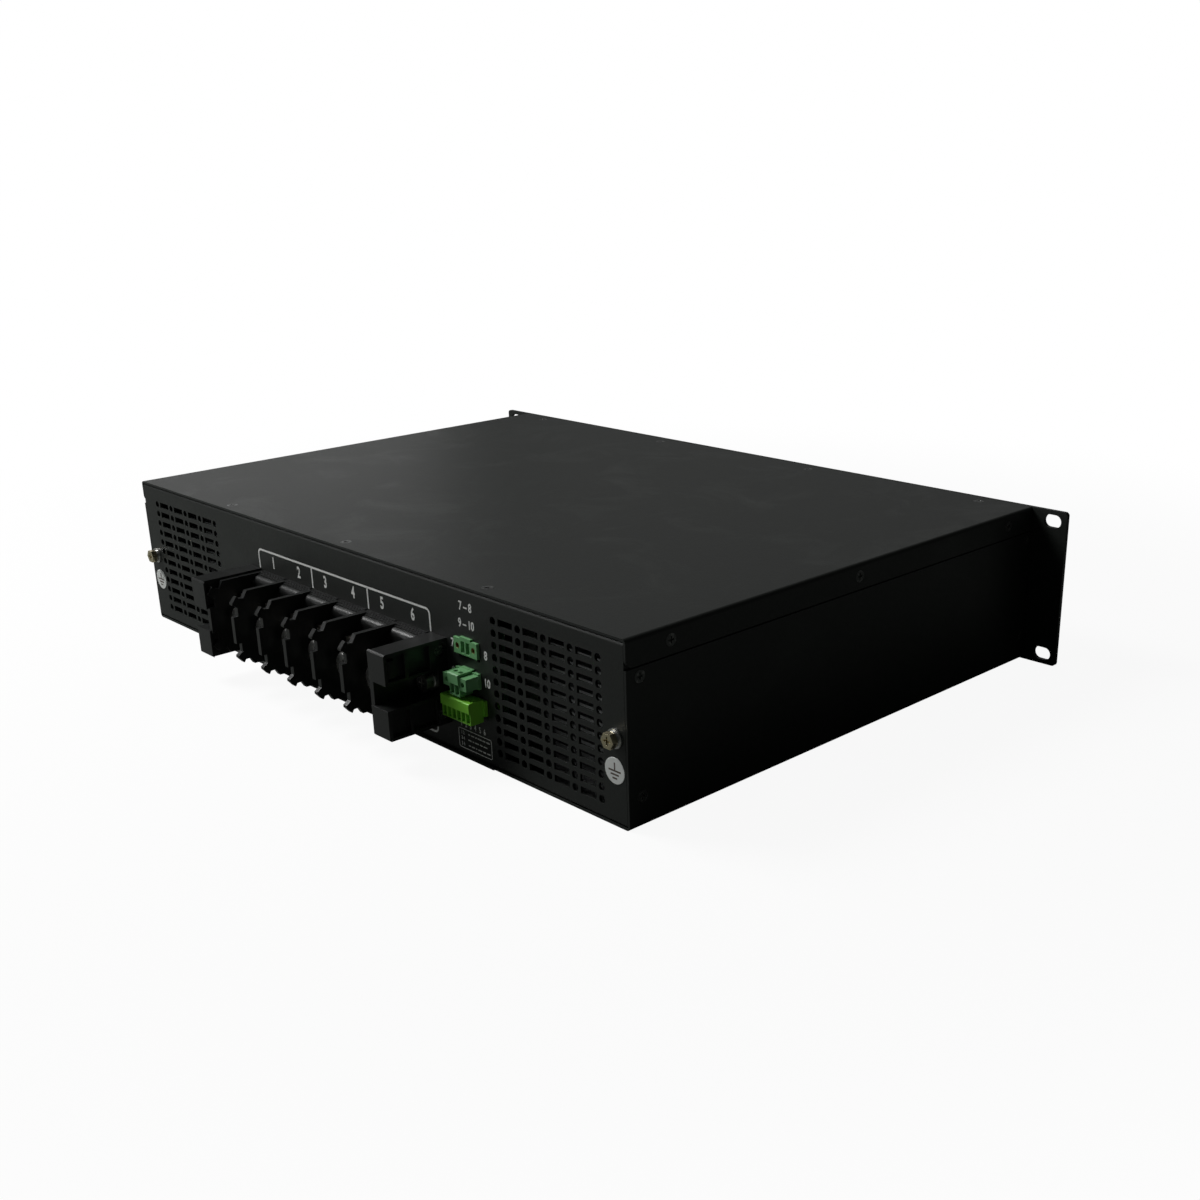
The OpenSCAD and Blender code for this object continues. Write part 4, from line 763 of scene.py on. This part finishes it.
class SWITCH_OT_stage(bpy.types.Operator):
    """Sets the floor, the lamps, the world and the camera"""
    bl_idname = "switch.stage"
    bl_label = "Stage"

    def execute(self, context):
        scene = context.scene
        studio = scene.switch_studio
        self.floor(studio)
        for name, setting, place, aim, size in LAMPS:
            self.lamp(name, place, aim, size, getattr(studio, setting))
        self.world(scene, studio)
        self.camera(scene, studio)
        scene.view_settings.view_transform = "Standard"
        return {"FINISHED"}

    def floor(self, studio):
        """White to the camera, with the soft shadow, and a grey card to everything else."""
        form = bmesh.new()
        bmesh.ops.create_grid(form, x_segments=2, y_segments=2, size=40.0)
        mesh = bpy.data.meshes.new("floor")
        form.to_mesh(mesh)
        form.free()
        floor = bpy.data.objects.new("floor", mesh)
        bpy.context.scene.collection.objects.link(floor)
        finish = Finish("pale floor")
        seen = finish.add("ShaderNodeLightPath", output="Is Camera Ray")
        mottle = finish.noise(0.4, detail=2.0)
        card = finish.mix(mottle, shade(studio.card, 0.96), studio.card)
        diffuse = finish.add("ShaderNodeBsdfDiffuse", None, {"Color": finish.mix(seen, card, studio.floor)})
        glow = finish.add("ShaderNodeEmission", None, {"Color": (1.0, 1.0, 1.0), "Strength": 1.0})
        distance = finish.add("ShaderNodeVectorMath", {"operation": "LENGTH"}, {0: finish.place}, "Value")
        far = finish.add("ShaderNodeMapRange", {"interpolation_type": "SMOOTHSTEP"}, {
            "Value": distance, "From Min": 0.35, "From Max": 0.75, "To Min": studio.glow, "To Max": 1.0})
        mesh.materials.append(finish.close(
            finish.add("ShaderNodeMixShader", None, {0: seen * far, 1: diffuse, 2: glow})))

    def lamp(self, name, place, aim, size, power):
        data = bpy.data.lights.new(name, "AREA")
        data.shape = "RECTANGLE"
        data.size, data.size_y = size
        data.energy = power
        lamp = bpy.data.objects.new(name, data)
        bpy.context.scene.collection.objects.link(lamp)
        lamp.location = place
        lamp.rotation_euler = (Vector(aim) - Vector(place)).to_track_quat("-Z", "Y").to_euler()
        return lamp

    def world(self, scene, studio):
        studio_world = Finish("studio", bpy.data.worlds.new("studio"))
        seen = studio_world.add("ShaderNodeLightPath", output="Is Camera Ray")
        soft, white = (studio_world.add("ShaderNodeBackground", None, {"Color": tint})
                       for tint in (studio.air, (1.0, 1.0, 1.0)))
        blend = studio_world.add("ShaderNodeMixShader", None, {0: seen, 1: soft, 2: white})
        scene.world = studio_world.close(blend, "ShaderNodeOutputWorld")

    def camera(self, scene, studio):
        data = bpy.data.cameras.new("camera")
        data.sensor_width = 36.0
        data.lens = studio.lens
        data.shift_x = CAMERA_SHIFT[0]
        data.shift_y = CAMERA_SHIFT[1]
        data.clip_start = 0.01
        camera = bpy.data.objects.new("camera", data)
        scene.collection.objects.link(camera)
        camera.location = (CAMERA_PLACE[0], REAR_FACE + CAMERA_PLACE[1], CAMERA_PLACE[2])
        camera.rotation_euler = CAMERA_TURN
        scene.camera = camera


class SWITCH_PT_panel(bpy.types.Panel):
    """Lists the pieces of the transfer switch and their settings"""
    bl_label = "Transfer switch"
    bl_idname = "SWITCH_PT_panel"
    bl_space_type = "VIEW_3D"
    bl_region_type = "UI"
    bl_category = "Transfer switch"

    def draw(self, context):
        for group, names, operators in SECTIONS:
            box = self.layout.box()
            settings = getattr(context.scene, group)
            for name in names:
                box.prop(settings, name)
            for operator in operators:
                box.operator(operator)


SECTIONS = (
    ("switch_coating", ("tint", "roughness", "grain", "grain_depth", "edge"), ("switch.case",)),
    ("switch_moulding", ("tint", "roughness", "edge"), ("switch.terminal_block",)),
    ("switch_metal", ("zinc", "brass", "copper", "blackened"),
     ("switch.screws", "switch.hardware", "switch.inside")),
    ("switch_sticker", ("paper", "symbol", "diameter", "thickness"), ("switch.earth_points",)),
    ("switch_port", ("soft_green", "bright_green"), ("switch.ports",)),
    ("switch_print", ("ink", "line", "film", "number", "small"), ("switch.print", "switch.front")),
    ("switch_studio", ("floor", "card", "air", "glow", "box", "fill", "rear", "key", "lens"), ("switch.stage",)),
)
GROUPS = {
    "switch_coating": CoatingSettings, "switch_moulding": MouldingSettings, "switch_metal": MetalSettings,
    "switch_sticker": StickerSettings, "switch_port": PortSettings, "switch_print": PrintSettings,
    "switch_studio": StudioSettings,
}
OPERATORS = (SWITCH_OT_case, SWITCH_OT_screws, SWITCH_OT_terminal_block, SWITCH_OT_hardware,
             SWITCH_OT_earth_points, SWITCH_OT_ports, SWITCH_OT_print, SWITCH_OT_inside, SWITCH_OT_front,
             SWITCH_OT_stage)


def register():
    for group in GROUPS.values():
        bpy.utils.register_class(group)
    for operator in (*OPERATORS, SWITCH_PT_panel):
        bpy.utils.register_class(operator)
    for name, group in GROUPS.items():
        setattr(bpy.types.Scene, name, PointerProperty(type=group))


def unregister():
    for name in GROUPS:
        delattr(bpy.types.Scene, name)
    for entry in (SWITCH_PT_panel, *reversed(OPERATORS), *GROUPS.values()):
        bpy.utils.unregister_class(entry)


def main():
    register()
    for operator in OPERATORS:
        category, name = operator.bl_idname.split(".")
        getattr(getattr(bpy.ops, category), name)()


if __name__ == "__main__":
    main()
